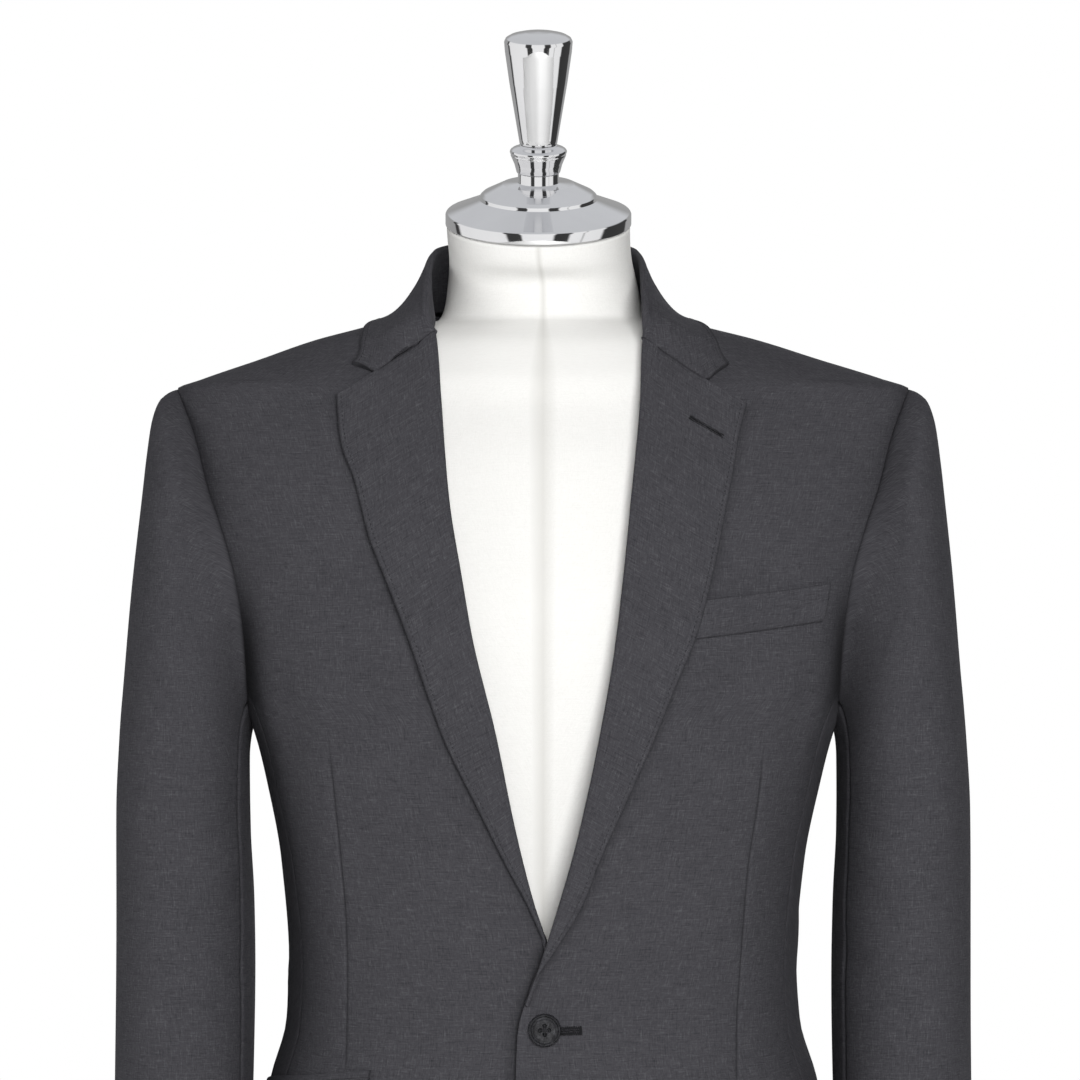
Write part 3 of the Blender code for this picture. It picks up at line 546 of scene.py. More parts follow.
def hornMaterial():
    tree, shader, make, link = newMaterial("horn")
    place = make("ShaderNodeTexCoord")
    stretch = make("ShaderNodeMapping")
    stretch.inputs["Scale"].default_value = (1, 1, 2.4)
    stretch.inputs["Rotation"].default_value = (0, .6, 0)
    link(place.outputs["Object"], stretch.inputs[0])
    swirl = make("ShaderNodeTexNoise", Scale=190.0, Detail=4.0, Roughness=.6, Distortion=1.4)
    link(stretch.outputs[0], swirl.inputs["Vector"])
    tone = ramp(make, [(.32, (.006, .006, .007)), (.52, (.013, .013, .015)), (.74, (.045, .045, .050))])
    link(swirl.outputs["Fac"], tone.inputs[0])
    link(tone.outputs[0], shader.inputs["Base Color"])
    patina = make("ShaderNodeGroup", node_tree=patinaGroup)
    patina.inputs["Size"].default_value = 60
    link(place.outputs["Object"], patina.inputs["Place"])
    rough = make("ShaderNodeMapRange")
    link(patina.outputs["Speck"], rough.inputs["Value"])
    rough.inputs["To Min"].default_value, rough.inputs["To Max"].default_value = .20, .34
    link(rough.outputs[0], shader.inputs["Roughness"])
    shader.inputs["Specular IOR Level"].default_value = .30
    shader.inputs["Coat Weight"].default_value = .12
    shader.inputs["Coat Roughness"].default_value = .14


def threadMaterial(name, dark, light):
    tree, shader, make, link = newMaterial(name)
    place = make("ShaderNodeTexCoord")
    ply = make("ShaderNodeTexWave", Scale=900.0, Distortion=2.0, Detail=2.0)
    link(place.outputs["Object"], ply.inputs["Vector"])
    tone = ramp(make, [(.2, dark), (.8, light)])
    link(ply.outputs["Fac"], tone.inputs[0])
    link(tone.outputs[0], shader.inputs["Base Color"])
    bump = make("ShaderNodeBump", Strength=.3, Distance=.0001)
    link(ply.outputs["Fac"], bump.inputs["Height"])
    link(bump.outputs[0], shader.inputs["Normal"])
    shader.inputs["Roughness"].default_value = .8
    shader.inputs["Specular IOR Level"].default_value = .2


def floorMaterial():
    tree, shader, make, link = newMaterial("paleFloor")
    place = make("ShaderNodeTexCoord")
    patina = make("ShaderNodeGroup", node_tree=patinaGroup)
    patina.inputs["Size"].default_value = 1.2
    link(place.outputs["Object"], patina.inputs["Place"])
    tone = ramp(make, [(.3, (.78, .78, .77)), (.7, (.82, .82, .81))])
    link(patina.outputs["Patch"], tone.inputs[0])
    link(tone.outputs[0], shader.inputs["Base Color"])
    shader.inputs["Roughness"].default_value = .7


hornMaterial()
threadMaterial("darkThread", (.006, .006, .007), (.020, .020, .022))
threadMaterial("clothThread", (.014, .014, .016), (.030, .030, .033))
# a near-black stand-in for the shade inside a buttonhole's cut: painted shadow
threadMaterial("slitPaintedShadow", (.002, .002, .002), (.006, .006, .007))
threadMaterial("edgeThread", (.010, .010, .012), (.040, .040, .044))
floorMaterial()
print("materials made")


# Jacket body
def armholeDegrees(z):
    return jacket[1].degrees(armholeX(z), z)


def armholeHeight(degrees):
    fold = np.abs(90 - np.asarray(degrees, float))
    low = np.full(fold.shape, suit["underarm"])
    high = np.full(fold.shape, 1.300)
    for _ in range(30):
        middle = (low + high) / 2
        beyond = 90 - armholeDegrees(middle) > fold
        high = np.where(beyond, middle, high)
        low = np.where(beyond, low, middle)
    return (low + high) / 2


frontArmhole = float(armholeHeight(suit["sideFront"]))
sideBack = smoothCurve([(suit["hem"], 118.0), (1.085, 120.0), (frontArmhole, 180 - suit["sideFront"]),
                        (1.3, 180 - suit["sideFront"])])
seamLook = {"drop": .0011, "width": .0017, "shade": .55, "shadeWidth": .0007}


def seamDrop(distance, share=1.0):
    return -share * seamLook["drop"] * bell(distance, seamLook["width"])


# painted shade in a seam's groove
def paintedShade(distance):
    return seamLook["shade"] * bell(distance, seamLook["shadeWidth"])


# painted shade along a pressed edge, darkest right at its rim
def paintedEdgeShade(distance):
    return .55 * bell(distance, .0009)


# the cloth sinks back where sleeve and body meet in front of the underarm; the same hollow is also darkened with
# painted shade
def armholeDip(x, z, degrees):
    deep = fade(z, 1.2320, 1.2560) * (1 - fade(z, 1.275, 1.355)) * fade(90 - degrees, 0, 12)
    return deep * bell(np.maximum(armholeX(z) - x, 0), .012)


dipDepth = .015


def bodyHeights(top):
    low = spread(1.000 - suit["hem"], .009, True, False) * (1.000 - suit["hem"]) + suit["hem"]
    middle = np.arange(1.004, 1.4400, .0042)
    shoulder = np.arange(1.4415, top - .0004, .0016)
    return np.concatenate([low, middle, shoulder, [top]])


def frontPanel(side):
    z = bodyHeights(suit["neckPoint"])[:, None]
    body = jacket[side]
    inner = np.where(z > suit["rollStart"], rollX[side](z), frontEdgeX(z)) + .0014 * fade(z, 1.075, 1.10)
    outer = np.full(z.shape, suit["sideFront"])
    outer = np.where(z > frontArmhole, armholeDegrees(z), outer)
    outer = np.where(z > suit["shoulderTip"], 90.0, outer)
    start = body.degrees(inner, z)
    end = outer + mix(-.08, .12, fade(z, frontArmhole - .01, frontArmhole)) + .6 * bell(z - frontArmhole, .004)
    dart = body.degrees(dartX[side](z), z)
    dart = mix(dart, mix(start, end, .62), fade(z, 1.25, 1.33))
    first = spread(.125, .0042)
    second = spread(.062, .0042)[1:]
    degrees = np.concatenate([mix(start, dart, first[None]), mix(dart, end, second[None])], axis=1)
    heights = np.broadcast_to(z, degrees.shape)
    base = body.flat(degrees, heights)
    arc = arcAcross(base)
    lift = frontLift(side, base[..., 0], heights)
    soft = np.full(z.shape, .4)
    toSeam = arc[:, -1:] - arc
    toDart = np.abs(arc - arc[:, len(first) - 1:len(first)])
    bottom, top = dartLine[side][0][0], dartLine[side][-1][0]
    open_ = fade(heights, bottom - .004, bottom + .004) * (1 - fade(heights, top - .03, top + .004))
    calm = mix(1, fade(toSeam, .001, .014), fade(z, frontArmhole - .01, frontArmhole))
    lift = lift * calm + seamDrop(toSeam, soft) - open_ * (.0007 * bell(toDart, .0012) + .0004 * bell(toDart, .006))
    # painted shade in the seam's groove and in the dart's fold
    shade = paintedShade(toSeam) * mix(.4, 1, fade(z, frontArmhole - .02, frontArmhole)) + open_ * .6 * bell(toDart, .0007)
    # painted shadow of the overlapping left front on the right front beside its edge
    if side < 0:
        overlap = -np.where(heights > suit["rollStart"], rollX[1](heights), frontEdgeX(heights))
        toOverlap = base[..., 0] - overlap
        paintedOverlapShadow = bell(np.maximum(toOverlap, 0), .0050) * (toOverlap > -.004) * (1 - fade(heights, 1.100, 1.118))
        shade = np.maximum(shade, .5 * paintedOverlapShadow)
    # painted shadow of the lapel's outer edge on the front beside it
    lapelX, lapelZ = lapelSpot(side, np.ones(60), np.linspace(0, 1, 60))
    beyond = base[..., 0] - np.interp(heights, lapelZ, lapelX)
    underLapel = (heights < lapelZ.max()) * (heights > lapelZ.min())
    shade = np.maximum(shade, .34 * bell(np.maximum(beyond, 0), .0032) * underLapel)
    points = body.point(degrees, heights, lift)
    dip = armholeDip(base[..., 0], heights, degrees)
    points[..., 1] += dipDepth * dip
    # painted shade in the hollow in front of the underarm
    shade = np.maximum(shade, .9 * dip ** 2)
    obj = addSheet(f"jacketFront{sideTitle[side]}", points, side, .0020, shade=shade)
    finishCloth(obj, points, [f"front_{sideName[side]}"], "draped", ["coverBody"])
    return points


def sidePanel(side):
    across = spread(.088, .0045)
    up = spread(.48, .0075)
    seamFrom, seamTo = suit["sideFront"] + .08, 180 - suit["sideFront"] - .08
    top = armholeHeight(mix(seamFrom, seamTo, across)) + .0002
    z = mix(suit["hem"], top[None], up[:, None])
    degrees = mix(seamFrom, sideBack(z) - .08, across[None])
    base = jacket[side].flat(degrees, z)
    arc, rise = arcAcross(base), arcAlong(base)
    toSeam = np.minimum(arc, arc[:, -1:] - arc)
    toTop = rise[-1:] - rise
    lift = jacketWave(side, degrees, z) + seamDrop(toSeam, .4) + seamDrop(toTop, .4)
    points = jacket[side].point(degrees, z, lift)
    dip = armholeDip(base[..., 0], z, degrees)
    points[..., 1] += dipDepth * dip
    # painted shade along the seams and in the hollow in front of the underarm
    obj = addSheet(f"jacketSide{sideTitle[side]}", points, side, .0020,
                   shade=np.maximum(paintedShade(toSeam) * .5 + paintedShade(toTop), .9 * dip ** 2))
    finishCloth(obj, points, [f"side_{sideName[side]}"], "draped", ["coverBody"])


def backPanel(side):
    z = bodyHeights(suit["neckPoint"])[:, None]
    outer = sideBack(z)
    outer = np.where(z > frontArmhole, 180 - armholeDegrees(z), outer)
    outer = np.where(z > suit["shoulderTip"], 90.0, outer)
    degrees = mix(outer + .08, 179.92, spread(.17, .0045)[None])
    heights = np.broadcast_to(z, degrees.shape)
    base = jacket[side].flat(degrees, heights)
    arc = arcAcross(base)
    toSeam = np.minimum(arc, arc[:, -1:] - arc)
    calm = mix(1, fade(arc, .001, .014), fade(z, frontArmhole - .01, frontArmhole))
    lift = jacketWave(side, degrees, heights) * fade(180 - degrees, 0, 6) * calm + seamDrop(toSeam)
    points = jacket[side].point(degrees, heights, lift)
    # painted shade along the seams
    obj = addSheet(f"jacketBack{sideTitle[side]}", points, side, .0020, shade=paintedShade(toSeam))
    finishCloth(obj, points, [f"back_{sideName[side]}"], "draped", ["coverBody"])


# Lapels and collar
# how far past the roll line, and the lift over the front: the cloth turning over on itself
rollProfile = [(.0046, .0003), (.0030, .0002), (.0014, .0004), (.0004, .0012), (.0000, .0023),
               (.0004, .0033), (.0015, .0041), (.0032, .0046), (.0054, .0048), (.0079, .0046)]


def lapelSpot(side, across, up):
    rollZ = mix(suit["lapelFoot"], gorge[side][1], up)
    edgeZ = mix(suit["lapelFoot"] + .0015, gorge[side][3], up)
    outer = np.maximum(lapelX[side](edgeZ), rollX[side](edgeZ) + .0012)
    x = mix(rollX[side](rollZ) + .0004, outer, across)
    z = mix(rollZ, edgeZ, across) - .0020 * np.sin(np.pi * across) * fade(up, .85, 1.0)
    return x, z


def lapelPiece(side):
    up = spread(.39, .0040, True, True)
    across = spread(.066, .0030, False, True)[1:]
    u = up[:, None]
    whole = lapelSpot(side, np.ones((1, 1)), u)[0] - lapelSpot(side, np.zeros((1, 1)), u)[0]
    wide = np.clip(.7 * whole / rollProfile[-1][0], .08, 1)
    turnAcross = np.array([p[0] for p in rollProfile])[None] * wide / whole
    turnX, turnZ = lapelSpot(side, turnAcross, u)
    turnLift = np.array([p[1] for p in rollProfile])[None] * mix(.60, 1, wide)
    begun = turnAcross[:, -1:]
    flatAcross = begun + (1 - begun) * across[None]
    flatX, flatZ = lapelSpot(side, flatAcross, u)
    welt = fade(flatZ, 1.245, 1.27) * (1 - fade(flatZ, 1.345, 1.37)) * fade(flatAcross, .3, .75)
    belly = .0016 * np.maximum(np.sin(np.pi * flatAcross), welt) * fade(u, .12, .35) * fade(across[None], 0, .3)
    flatLift = mix(turnLift[:, -1:], mix(.0026, .0034, wide), fade(across[None], 0, .5)) + belly
    x = np.concatenate([turnX, flatX], axis=1)
    z = np.concatenate([turnZ, flatZ], axis=1)
    lift = np.concatenate([turnLift, flatLift], axis=1) * mix(.25, 1, fade(u, 0, .06))
    degrees = jacket[side].degrees(x, z)
    lift = lift + frontLift(side, np.maximum(x, 0), z)
    along = np.concatenate([np.zeros_like(turnX), flatAcross], axis=1)
    toTop = (1 - u) * .39 * np.ones_like(x)
    inGorge = fade(along, .02, .16) * (1 - fade(along, .56, .60))
    lift = lift + seamDrop(toTop) * .8 * inGorge
    points = jacket[side].point(degrees, z, lift)
    toEdge = arcAcross(points)[:, -1:] - arcAcross(points)
    # painted shade in the gorge seam and along the lapel's outer rim
    shade = np.maximum(paintedShade(toTop) * inGorge, paintedEdgeShade(toEdge) * fade(u, .01, .05))
    obj = addSheet(f"lapel{sideTitle[side]}", points, side, .0022, shade=shade, rim=.0007)
    finishCloth(obj, points, [f"lapel_{sideName[side]}"], "folded", [f"jacketFront{sideTitle[side]}"])
    return points


# share of the way round the neck from the gorge, then x, y, z of the collar's fold
collarFold = [(0.00, .0622, -.0655, 1.4750), (0.14, .0662, -.0590, 1.4885), (0.30, .0680, -.0420, 1.5030),
              (0.50, .0675, -.0060, 1.5215), (0.68, .0640, .0340, 1.5330), (0.84, .0430, .0620, 1.5400),
              (1.00, .0000, .0750, 1.5430)]
# share, degrees round the body, height and lift of the collar's outer edge
collarOuter = [(0.00, 33.5, 1.4560, .0032), (0.14, 40.5, 1.4660, .0030), (0.30, 53.0, 1.4765, .0028),
               (0.50, 90.0, 1.4850, .0028), (0.68, 126.0, 1.4830, .0030), (0.84, 152.0, 1.4810, .0034),
               (1.00, 180.0, 1.4800, .0036)]
# share, how far the leaf bows up from a straight line between fold and edge
collarBow = [(0.00, .0035), (0.14, .0010), (0.30, -.0050), (0.50, -.0078), (0.70, -.0045), (1.00, .0010)]
foldAt = curves(collarFold, 1, 2, 3)
outerAt = curves(collarOuter, 1, 2, 3)
bowAt = smoothCurve(collarBow)
notchShare = .60
# the stand and fold away from the collar's ends: share of the way up the stand, out from the fold, up from it
foldProfile = [(0, 0, 0), (.33, -.0014, 0), (.66, -.0024, 0), (1, -.0030, -.0030), (1, -.0024, -.0009),
               (1, -.0010, .0003), (1, .0006, .0003), (1, .0018, -.0006), (1, .0026, -.0020), (1, .0032, -.0036)]


def neckSeam(side, roundNeck):
    body = jacket[side]
    if roundNeck < .45:
        share = roundNeck / .45
        z = mix(1.4730, suit["neckPoint"], share)
        x = min(float(rollX[side](z)) + mix(.0020, -.0020, fade(share, .15, .65)), float(body.width(z)) - .0002)
        spot = body.point(body.degrees(x, z), z, .0006)
        return spot + np.array([0, 0, .0006 + .0022 * fade(roundNeck, .15, .40)])
    return body.flat(mix(90, 180, (roundNeck - .45) / .55), suit["neckPoint"]) + np.array([0, 0, .0028])


def clearJacket(body, place, need):
    x, y, z = place
    if z > 1.4800 or abs(x) > .93 * body.width(z):
        return place
    degrees = body.degrees(x, z)
    if y > body.centre(z):
        return np.array([x, max(y, body.point(180 - degrees, z, need)[1]), z])
    return np.array([x, min(y, body.point(degrees, z, need)[1]), z])


def throughPoints(points, count):
    points = np.array(points)
    length = np.concatenate([[0], np.cumsum(np.linalg.norm(np.diff(points, axis=0), axis=1))])
    at = np.linspace(0, length[-1], count)
    curves = [smoothCurve(list(zip(length, points[:, k]))) for k in range(3)]
    return np.stack([curve(at) for curve in curves], -1)


def collarRow(share):
    side = 1 if share >= 0 else -1
    body = jacket[side]
    roundNeck = 1 - abs(share)
    nearEnd = (1 - fade(roundNeck, 0, .22)) ** 2
    topX, topZ, _, _, cornerX, cornerZ = gorge[side]
    fold = np.array([float(curve(roundNeck)) for curve in foldAt])
    fold = fold + np.array([topX - .0612, .0035, topZ - 1.4722]) * nearEnd
    fold[0] -= side * .0047 * (1 - nearEnd) * (1 - fade(roundNeck, .70, 1.0))
    degrees, z, lift = [float(curve(roundNeck)) for curve in outerAt]
    edge = body.point(degrees, z, lift)
    seat = neckSeam(side, roundNeck)
    away = unit((edge - fold) * np.array([1, 1, 0]))
    up = np.array([0, 0, 1.0])
    stand = []
    whole = float(lapelSpot(side, np.array(1.0), np.array(1.0))[0]) - topX - .0004
    for (along, out, rise), (dx, turnLift) in zip(foldProfile, rollProfile):
        place = mix(seat, fold, along) + away * (out + .0030 * along * (1 - fade(roundNeck, 0, .34))) + up * rise
        x, z = lapelSpot(side, np.array(dx / whole), np.array(1.0))
        end = body.point(body.degrees(x, z), z + .0004, turnLift + .0002)
        stand.append(mix(place, end, nearEnd))
    leaf = [stand[-1]]
    for along in (.22, .32, .42, .52, .62, .71, .80, .90, 1.0):
        place = mix(fold, edge, along) + up * float(bowAt(roundNeck)) * math.sin(math.pi * along)
        begun = rollProfile[-1][0] / whole
        x, z = lapelSpot(side, np.array(begun + (notchShare - begun) * min(along, .8) / .8), np.array(1.0))
        z = z + .0004
        if along > .8:
            x, z = mix(x, cornerX, (along - .8) / .2), mix(z, cornerZ, (along - .8) / .2)
        end = body.point(body.degrees(x, z), z, .0042)
        leaf.append(clearJacket(body, mix(place, end, nearEnd), .0029))
    row = np.concatenate([np.array(stand), throughPoints(leaf, 20)[1:]])
    row[:, 0] *= side
    return row


def collarPiece():
    half = np.concatenate([1 - spread(.26, .0032, True, False), [0.0]])
    shares = np.unique(np.round(np.concatenate([-half, half]), 6))
    points = np.array([collarRow(share) for share in shares]).transpose(1, 0, 2)
    count = len(rollProfile)
    leafShare = np.clip((np.arange(points.shape[0]) - count + 1) / 19, 0, 1)[:, None]
    arc = arcAcross(points)
    toEnd = np.minimum(arc, arc[:, -1:] - arc)
    joined = fade(leafShare, .02, .20) * (1 - fade(leafShare, .74, .80))
    points = points + gridNormals(points) * (seamDrop(toEnd, .8) * joined)[..., None]
    toEdge = arcAlong(points)[-1:] - arcAlong(points)
    # painted shade in the seams at the collar's ends and along its rims
    shade = np.maximum(paintedShade(toEnd) * joined, np.maximum(paintedEdgeShade(toEdge), paintedEdgeShade(toEnd) * (leafShare > .78)))
    obj = addSheet("collarTurned", points, 1, .0022, rim=.0007, shade=shade)
    # the roll is too tight at the collar's ends for the whole thickness
    full = mix(.12, 1, np.maximum(fade(toEnd, .003, .020), fade(leafShare, .05, .20)))
    group = obj.vertex_groups.new(name="thickness")
    for number, weight in enumerate(full.reshape(-1)):
        group.add([number], float(weight), "REPLACE")
    obj.modifiers["thickness"].vertex_group = group.name
    finishCloth(obj, points, ["collar"], "folded", ["jacketFrontLeft", "jacketBackLeft"])
    return points


# Sleeves
# x and z of the inner and outer ends of each ring, half depth, centre y
sleeveRings = [
    (.1829, 1.2315, .2300, 1.4440, .0640, .003), (.1834, 1.2290, .2400, 1.4375, .0670, .003),
    (.1837, 1.2260, .2450, 1.4250, .0690, .002), (.1840, 1.2225, .2486, 1.4000, .0710, .001),
    (.1842, 1.2180, .2512, 1.3740, .0730, .000), (.1843, 1.2120, .2562, 1.3240, .0745, -.001),
    (.1843, 1.2040, .2606, 1.2740, .0755, -.001), (.1843, 1.1900, .2650, 1.2240, .0755, .000),
    (.1840, 1.1650, .2672, 1.1800, .0750, .001), (.1820, 1.1230, .2676, 1.1300, .0735, .002),
    (.1812, 1.0730, .2677, 1.0750, .0710, .000), (.1818, 1.0110, .2678, 1.0110, .0680, -.005),
    (.1865, 0.9400, .2690, 0.9400, .0640, -.013), (.1915, 0.8700, .2705, 0.8700, .0590, -.023),
    (.1950, 0.8200, .2705, 0.8200, .0550, -.031),
]
sleeveAt = curves([(i,) + row for i, row in enumerate(sleeveRings)], 1, 2, 3, 4, 5, 6)
# side, degrees round the sleeve and height of each end, half width, rise
sleeveFolds = [
    (1, 150, 1.17, 60, 1.115, .012, .0016), (1, 165, 1.11, 80, 1.045, .011, -.0013),
    (1, 140, 1.02, 40, .985, .013, .0012), (1, 20, 1.40, 15, 1.26, .022, .0008),
    (1, 70, 1.34, 95, 1.20, .016, -.0010), (1, -60, 1.36, -80, 1.18, .018, .0012),
    (1, -120, 1.12, -60, 1.06, .012, .0016), (1, 60, .93, 0, .90, .014, .0012),
    (-1, 155, 1.16, 65, 1.10, .013, .0015), (-1, 160, 1.09, 70, 1.035, .011, -.0014),
    (-1, 135, 1.00, 45, .965, .014, .0012), (-1, 25, 1.39, 10, 1.25, .022, .0008),
    (-1, 75, 1.33, 98, 1.19, .016, -.0010), (-1, -65, 1.35, -82, 1.17, .018, .0012),
    (-1, -115, 1.13, -55, 1.07, .012, .0015), (-1, 55, .92, 5, .89, .014, .0012),
]


def sleevePoint(roundArm, ring):
    innerX, innerZ, outerX, outerZ, depth, centre = [curve(ring) for curve in sleeveAt]
    angle = np.radians(roundArm)
    s, c = np.sin(angle), np.cos(angle)
    reach = (np.abs(s) ** 2.25 + np.abs(c) ** 2.25) ** (-1 / 2.25)
    place = np.stack(np.broadcast_arrays(
        (innerX + outerX) / 2 + (outerX - innerX) / 2 * reach * c, centre - depth * reach * s,
        (innerZ + outerZ) / 2 + (outerZ - innerZ) / 2 * reach * c), -1)
    seamZ = np.clip(mix(suit["underarm"], suit["shoulderTip"], (c + 1) / 2), suit["underarm"], suit["shoulderTip"])
    x = armholeX(seamZ)
    front = jacket[1].degrees(x, seamZ)
    seam = jacket[1].point(np.where(s >= 0, front, 180 - front), seamZ, -.0006 * np.ones_like(seamZ))
    sunk = np.where(s >= 0, armholeDip(x, seamZ, front), 0)
    seam = seam + np.stack([-.0004 * np.ones_like(sunk), dipDepth * sunk, 0 * sunk], -1)
    turned = np.abs((np.asarray(roundArm) + 180) % 360 - 180)
    reachDown = 1 + 3.5 * fade(turned, 60, 125)
    early = np.clip(1 - ring / reachDown, 0, 1) ** 1.5
    return mix(place, seam, early[..., None])


def sleevePiece(kind, side, start, end):
    ring = np.concatenate([[0, .03, .08, .15, .24, .35, .48, .62, .78], np.arange(1, 5, .22), np.arange(5, 11.6, .11),
                           np.arange(11.6, 13.9, .16), [13.93, 13.96, 13.98, 13.99, 14.0]])[::-1][:, None]
    width = math.radians(abs(end - start)) * .062
    roundArm = mix(end, start, spread(width, .0042)[None])
    base = sleevePoint(*np.broadcast_arrays(roundArm, ring))
    arc, rise = arcAcross(base), arcAlong(base)
    toSeam = np.minimum(arc, arc[:, -1:] - arc)
    toArmhole = rise[-1:] - rise
    angle = np.broadcast_to(roundArm, base.shape[:2])
    height = base[..., 2]
    lift = .0005 * np.sin(np.radians(angle * 3) + 14 * height + side) * np.sin(9 * height)
    lift = lift + foldLift(sleeveFolds, side, angle, height, .00115, .3)
    lift = lift * fade(toArmhole, 0, .03)
    headRoll = .0006 * bell(toArmhole - .006, .005) * fade(np.cos(np.radians(angle)), .2, .8)
    lift = lift + headRoll + seamDrop(toSeam)
    points = base + gridNormals(base) * lift[..., None]
    # painted shade along the seams, and a dark painted line where the sleeve meets the armhole
    obj = addSheet(f"sleeve{kind}{sideTitle[side]}", points, side, .0020, level=False,
                   shade=paintedShade(toSeam) + .85 * bell(toArmhole, .0018))
    finishCloth(obj, points, [f"sleeve_{kind.lower()}_{sideName[side]}"], "hung",
                [f"jacketFront{sideTitle[side]}"])
    return points


# Pockets
def bodyPatch(name, side, x0x1, foot, head, spacing, liftAt, thick, node, restsOn, rim=.0006, declare=True):
    along = spread(x0x1[2], spacing)
    up = spread(max(abs(float(head(.5) - foot(.5))), .004), .003, close=(0, .0005, .0012))
    degrees = mix(x0x1[0], x0x1[1], along)[None] * np.ones((len(up), 1))
    z = mix(foot(along)[None], head(along)[None], up[:, None])
    x = jacket[side].flat(degrees, z)[..., 0]
    lift = liftAt(along[None], up[:, None]) + np.where(degrees < suit["sideFront"], frontLift(side, x, z),
                                                       jacketWave(side, degrees, z))
    points = jacket[side].point(degrees, z, lift)
    arc, rise = arcAcross(points), arcAlong(points)
    # painted shade along the patch's rims
    shade = np.maximum(paintedEdgeShade(np.minimum(arc, arc[:, -1:] - arc)), paintedEdgeShade(rise))
    obj = addSheet(name, points, side, thick, rim=rim, shade=shade)
    if declare:
        finishCloth(obj, points, [node], "laid", [restsOn])
    else:
        ownSolid(obj, [node])      # a narrow sewn strip belongs to the cloth that carries it
        trims.setdefault(restsOn, []).append(obj)
    return points


def pockets(side):
    height = 1.0237 - (.0085 if side > 0 else 0)
    who = sideName[side]

    def line(along):
        return height - .018 * along

    def flapFoot(along):
        corner = np.maximum(np.abs(along - .5) - .40, 0) / .10
        return line(along) - .056 + .010 * corner ** 2

    span = (36.5, 86.5, .150)
    bodyPatch(f"pocketJet{who.title()}", side, span, line, lambda a: line(a) + .005, .004,
              lambda a, u: .0015 + .0009 * np.sin(np.pi * np.clip(u, 0, 1)) * np.ones_like(a), .0012,
              f"pocket_jet_{who}", f"jacketFront{who.title()}", declare=False)
    flap = bodyPatch(f"pocketFlap{who.title()}", side, span, flapFoot, lambda a: line(a) + .0004, .004,
                     lambda a, u: .0030 + .0010 * (1 - u) * np.ones_like(a) - .0012 * bell(1 - u, .05), .0020,
                     f"pocket_flap_{who}", f"jacketFront{who.title()}")
    return flap


def breastWelt():
    def foot(along):
        return mix(1.2862, 1.2998, along)

    def head(along):
        return mix(1.3095, 1.3225, along)

    return bodyPatch("breastWelt", 1, (19.0, 51.6, .100), foot, head, .004,
                     lambda a, u: .0026 + .0004 * np.sin(np.pi * u) * np.ones_like(a)
                     - .0007 * bell(u, .06) - .0007 * bell(1 - a, .012), .0013, "breast_welt", "jacketFrontLeft")


# Trousers
trouserHips = Trunk([(.820, .1745, .1160, .1220, 2.30, .000), (.905, .1720, .1150, .1180, 2.30, .000),
                     (.960, .1655, .1150, .1130, 2.30, .000), (1.000, .1590, .1130, .1030, 2.30, .000),
                     (1.045, .1485, .1092, .0862, 2.25, .000)])
trouserLeg = [(.035, .0850, .0560, .0680, .010), (.250, .0860, .0600, .0690, .010),
              (.470, .0870, .0680, .0730, .006), (.650, .0885, .0780, .0860, .002),
              (.800, .0900, .0840, .1020, .002), (.905, .0905, .0845, .1120, .001)]
legAt = curves(trouserLeg, 1, 2, 3, 4)
# side, share across and height of each end, half width, rise
trouserFolds = {
    "front": [
        (1, .15, .120, .85, .085, .018, .0060), (1, .80, .200, .25, .165, .020, -.0045),
        (-1, .20, .095, .80, .130, .018, .0060), (-1, .75, .215, .20, .185, .020, -.0042),
        (1, .2, .500, .8, .470, .026, .0037), (-1, .25, .485, .8, .505, .026, .0037),
    ],
    "back": [
        (1, .1, .470, .8, .430, .024, .0060), (1, .2, .540, .9, .500, .024, -.0045),
        (-1, .15, .450, .85, .480, .024, .0060), (-1, .2, .530, .8, .545, .024, -.0039),
        (1, .2, .840, .8, .800, .020, .0053), (-1, .25, .825, .85, .790, .020, .0053),
        (1, .3, .110, .9, .150, .020, .0053), (-1, .2, .135, .85, .100, .020, .0053),
    ],
}


def trouserPoint(half, across, z):
    centreX, halfWide, halfDeep, centreY = [curve(z) for curve in legAt]
    angle = np.radians(mix(-90, 90, across) if half == "front" else mix(90, 270, across))
    s, c = np.sin(angle), np.cos(angle)
    reach = (np.abs(s) ** 2.3 + np.abs(c) ** 2.3) ** (-1 / 2.3)
    leg = np.stack(np.broadcast_arrays(centreX + halfWide * reach * s, centreY - halfDeep * reach * c, z), -1)
    body = trouserHips.flat(mix(.15, 90, across) if half == "front" else mix(90, 179.85, across), z)
    return mix(leg, body, fade(z, .830, .905)[..., None])


def trouserPiece(half, side):
    z = np.concatenate([.035 + spread(.795, .011, True, False) * .795, np.arange(.8365, 1.040, .0065), [1.0445]])[:, None]
    edge = spread(.11, .005, True, True)
    across = np.concatenate([edge * .5, .5 + edge[1:] * .5]) * .994 + .003
    across, z = np.broadcast_arrays(across[None], z)
    base = trouserPoint(half, across, z)
    arc = arcAcross(base)
    toSeam = np.minimum(arc, arc[:, -1:] - arc)
    middle = arc[:, len(edge) - 1:len(edge)]
    crease = .0060 * np.exp(-np.abs(arc - middle) / .011) * (1 - fade(z, .84, .98))
    lift = crease + seamDrop(toSeam)
    lift = lift + foldLift(trouserFolds[half], side, across, z, .20, 0, .05)
    points = base + gridNormals(base) * lift[..., None]
    # painted shade along the seams
    obj = addSheet(f"trouser{half.title()}{sideTitle[side]}", points, side, .0018, shade=paintedShade(toSeam))
    finishCloth(obj, points, [f"trouser_{half}_{sideName[side]}"], "hung", ["trouserBand"])


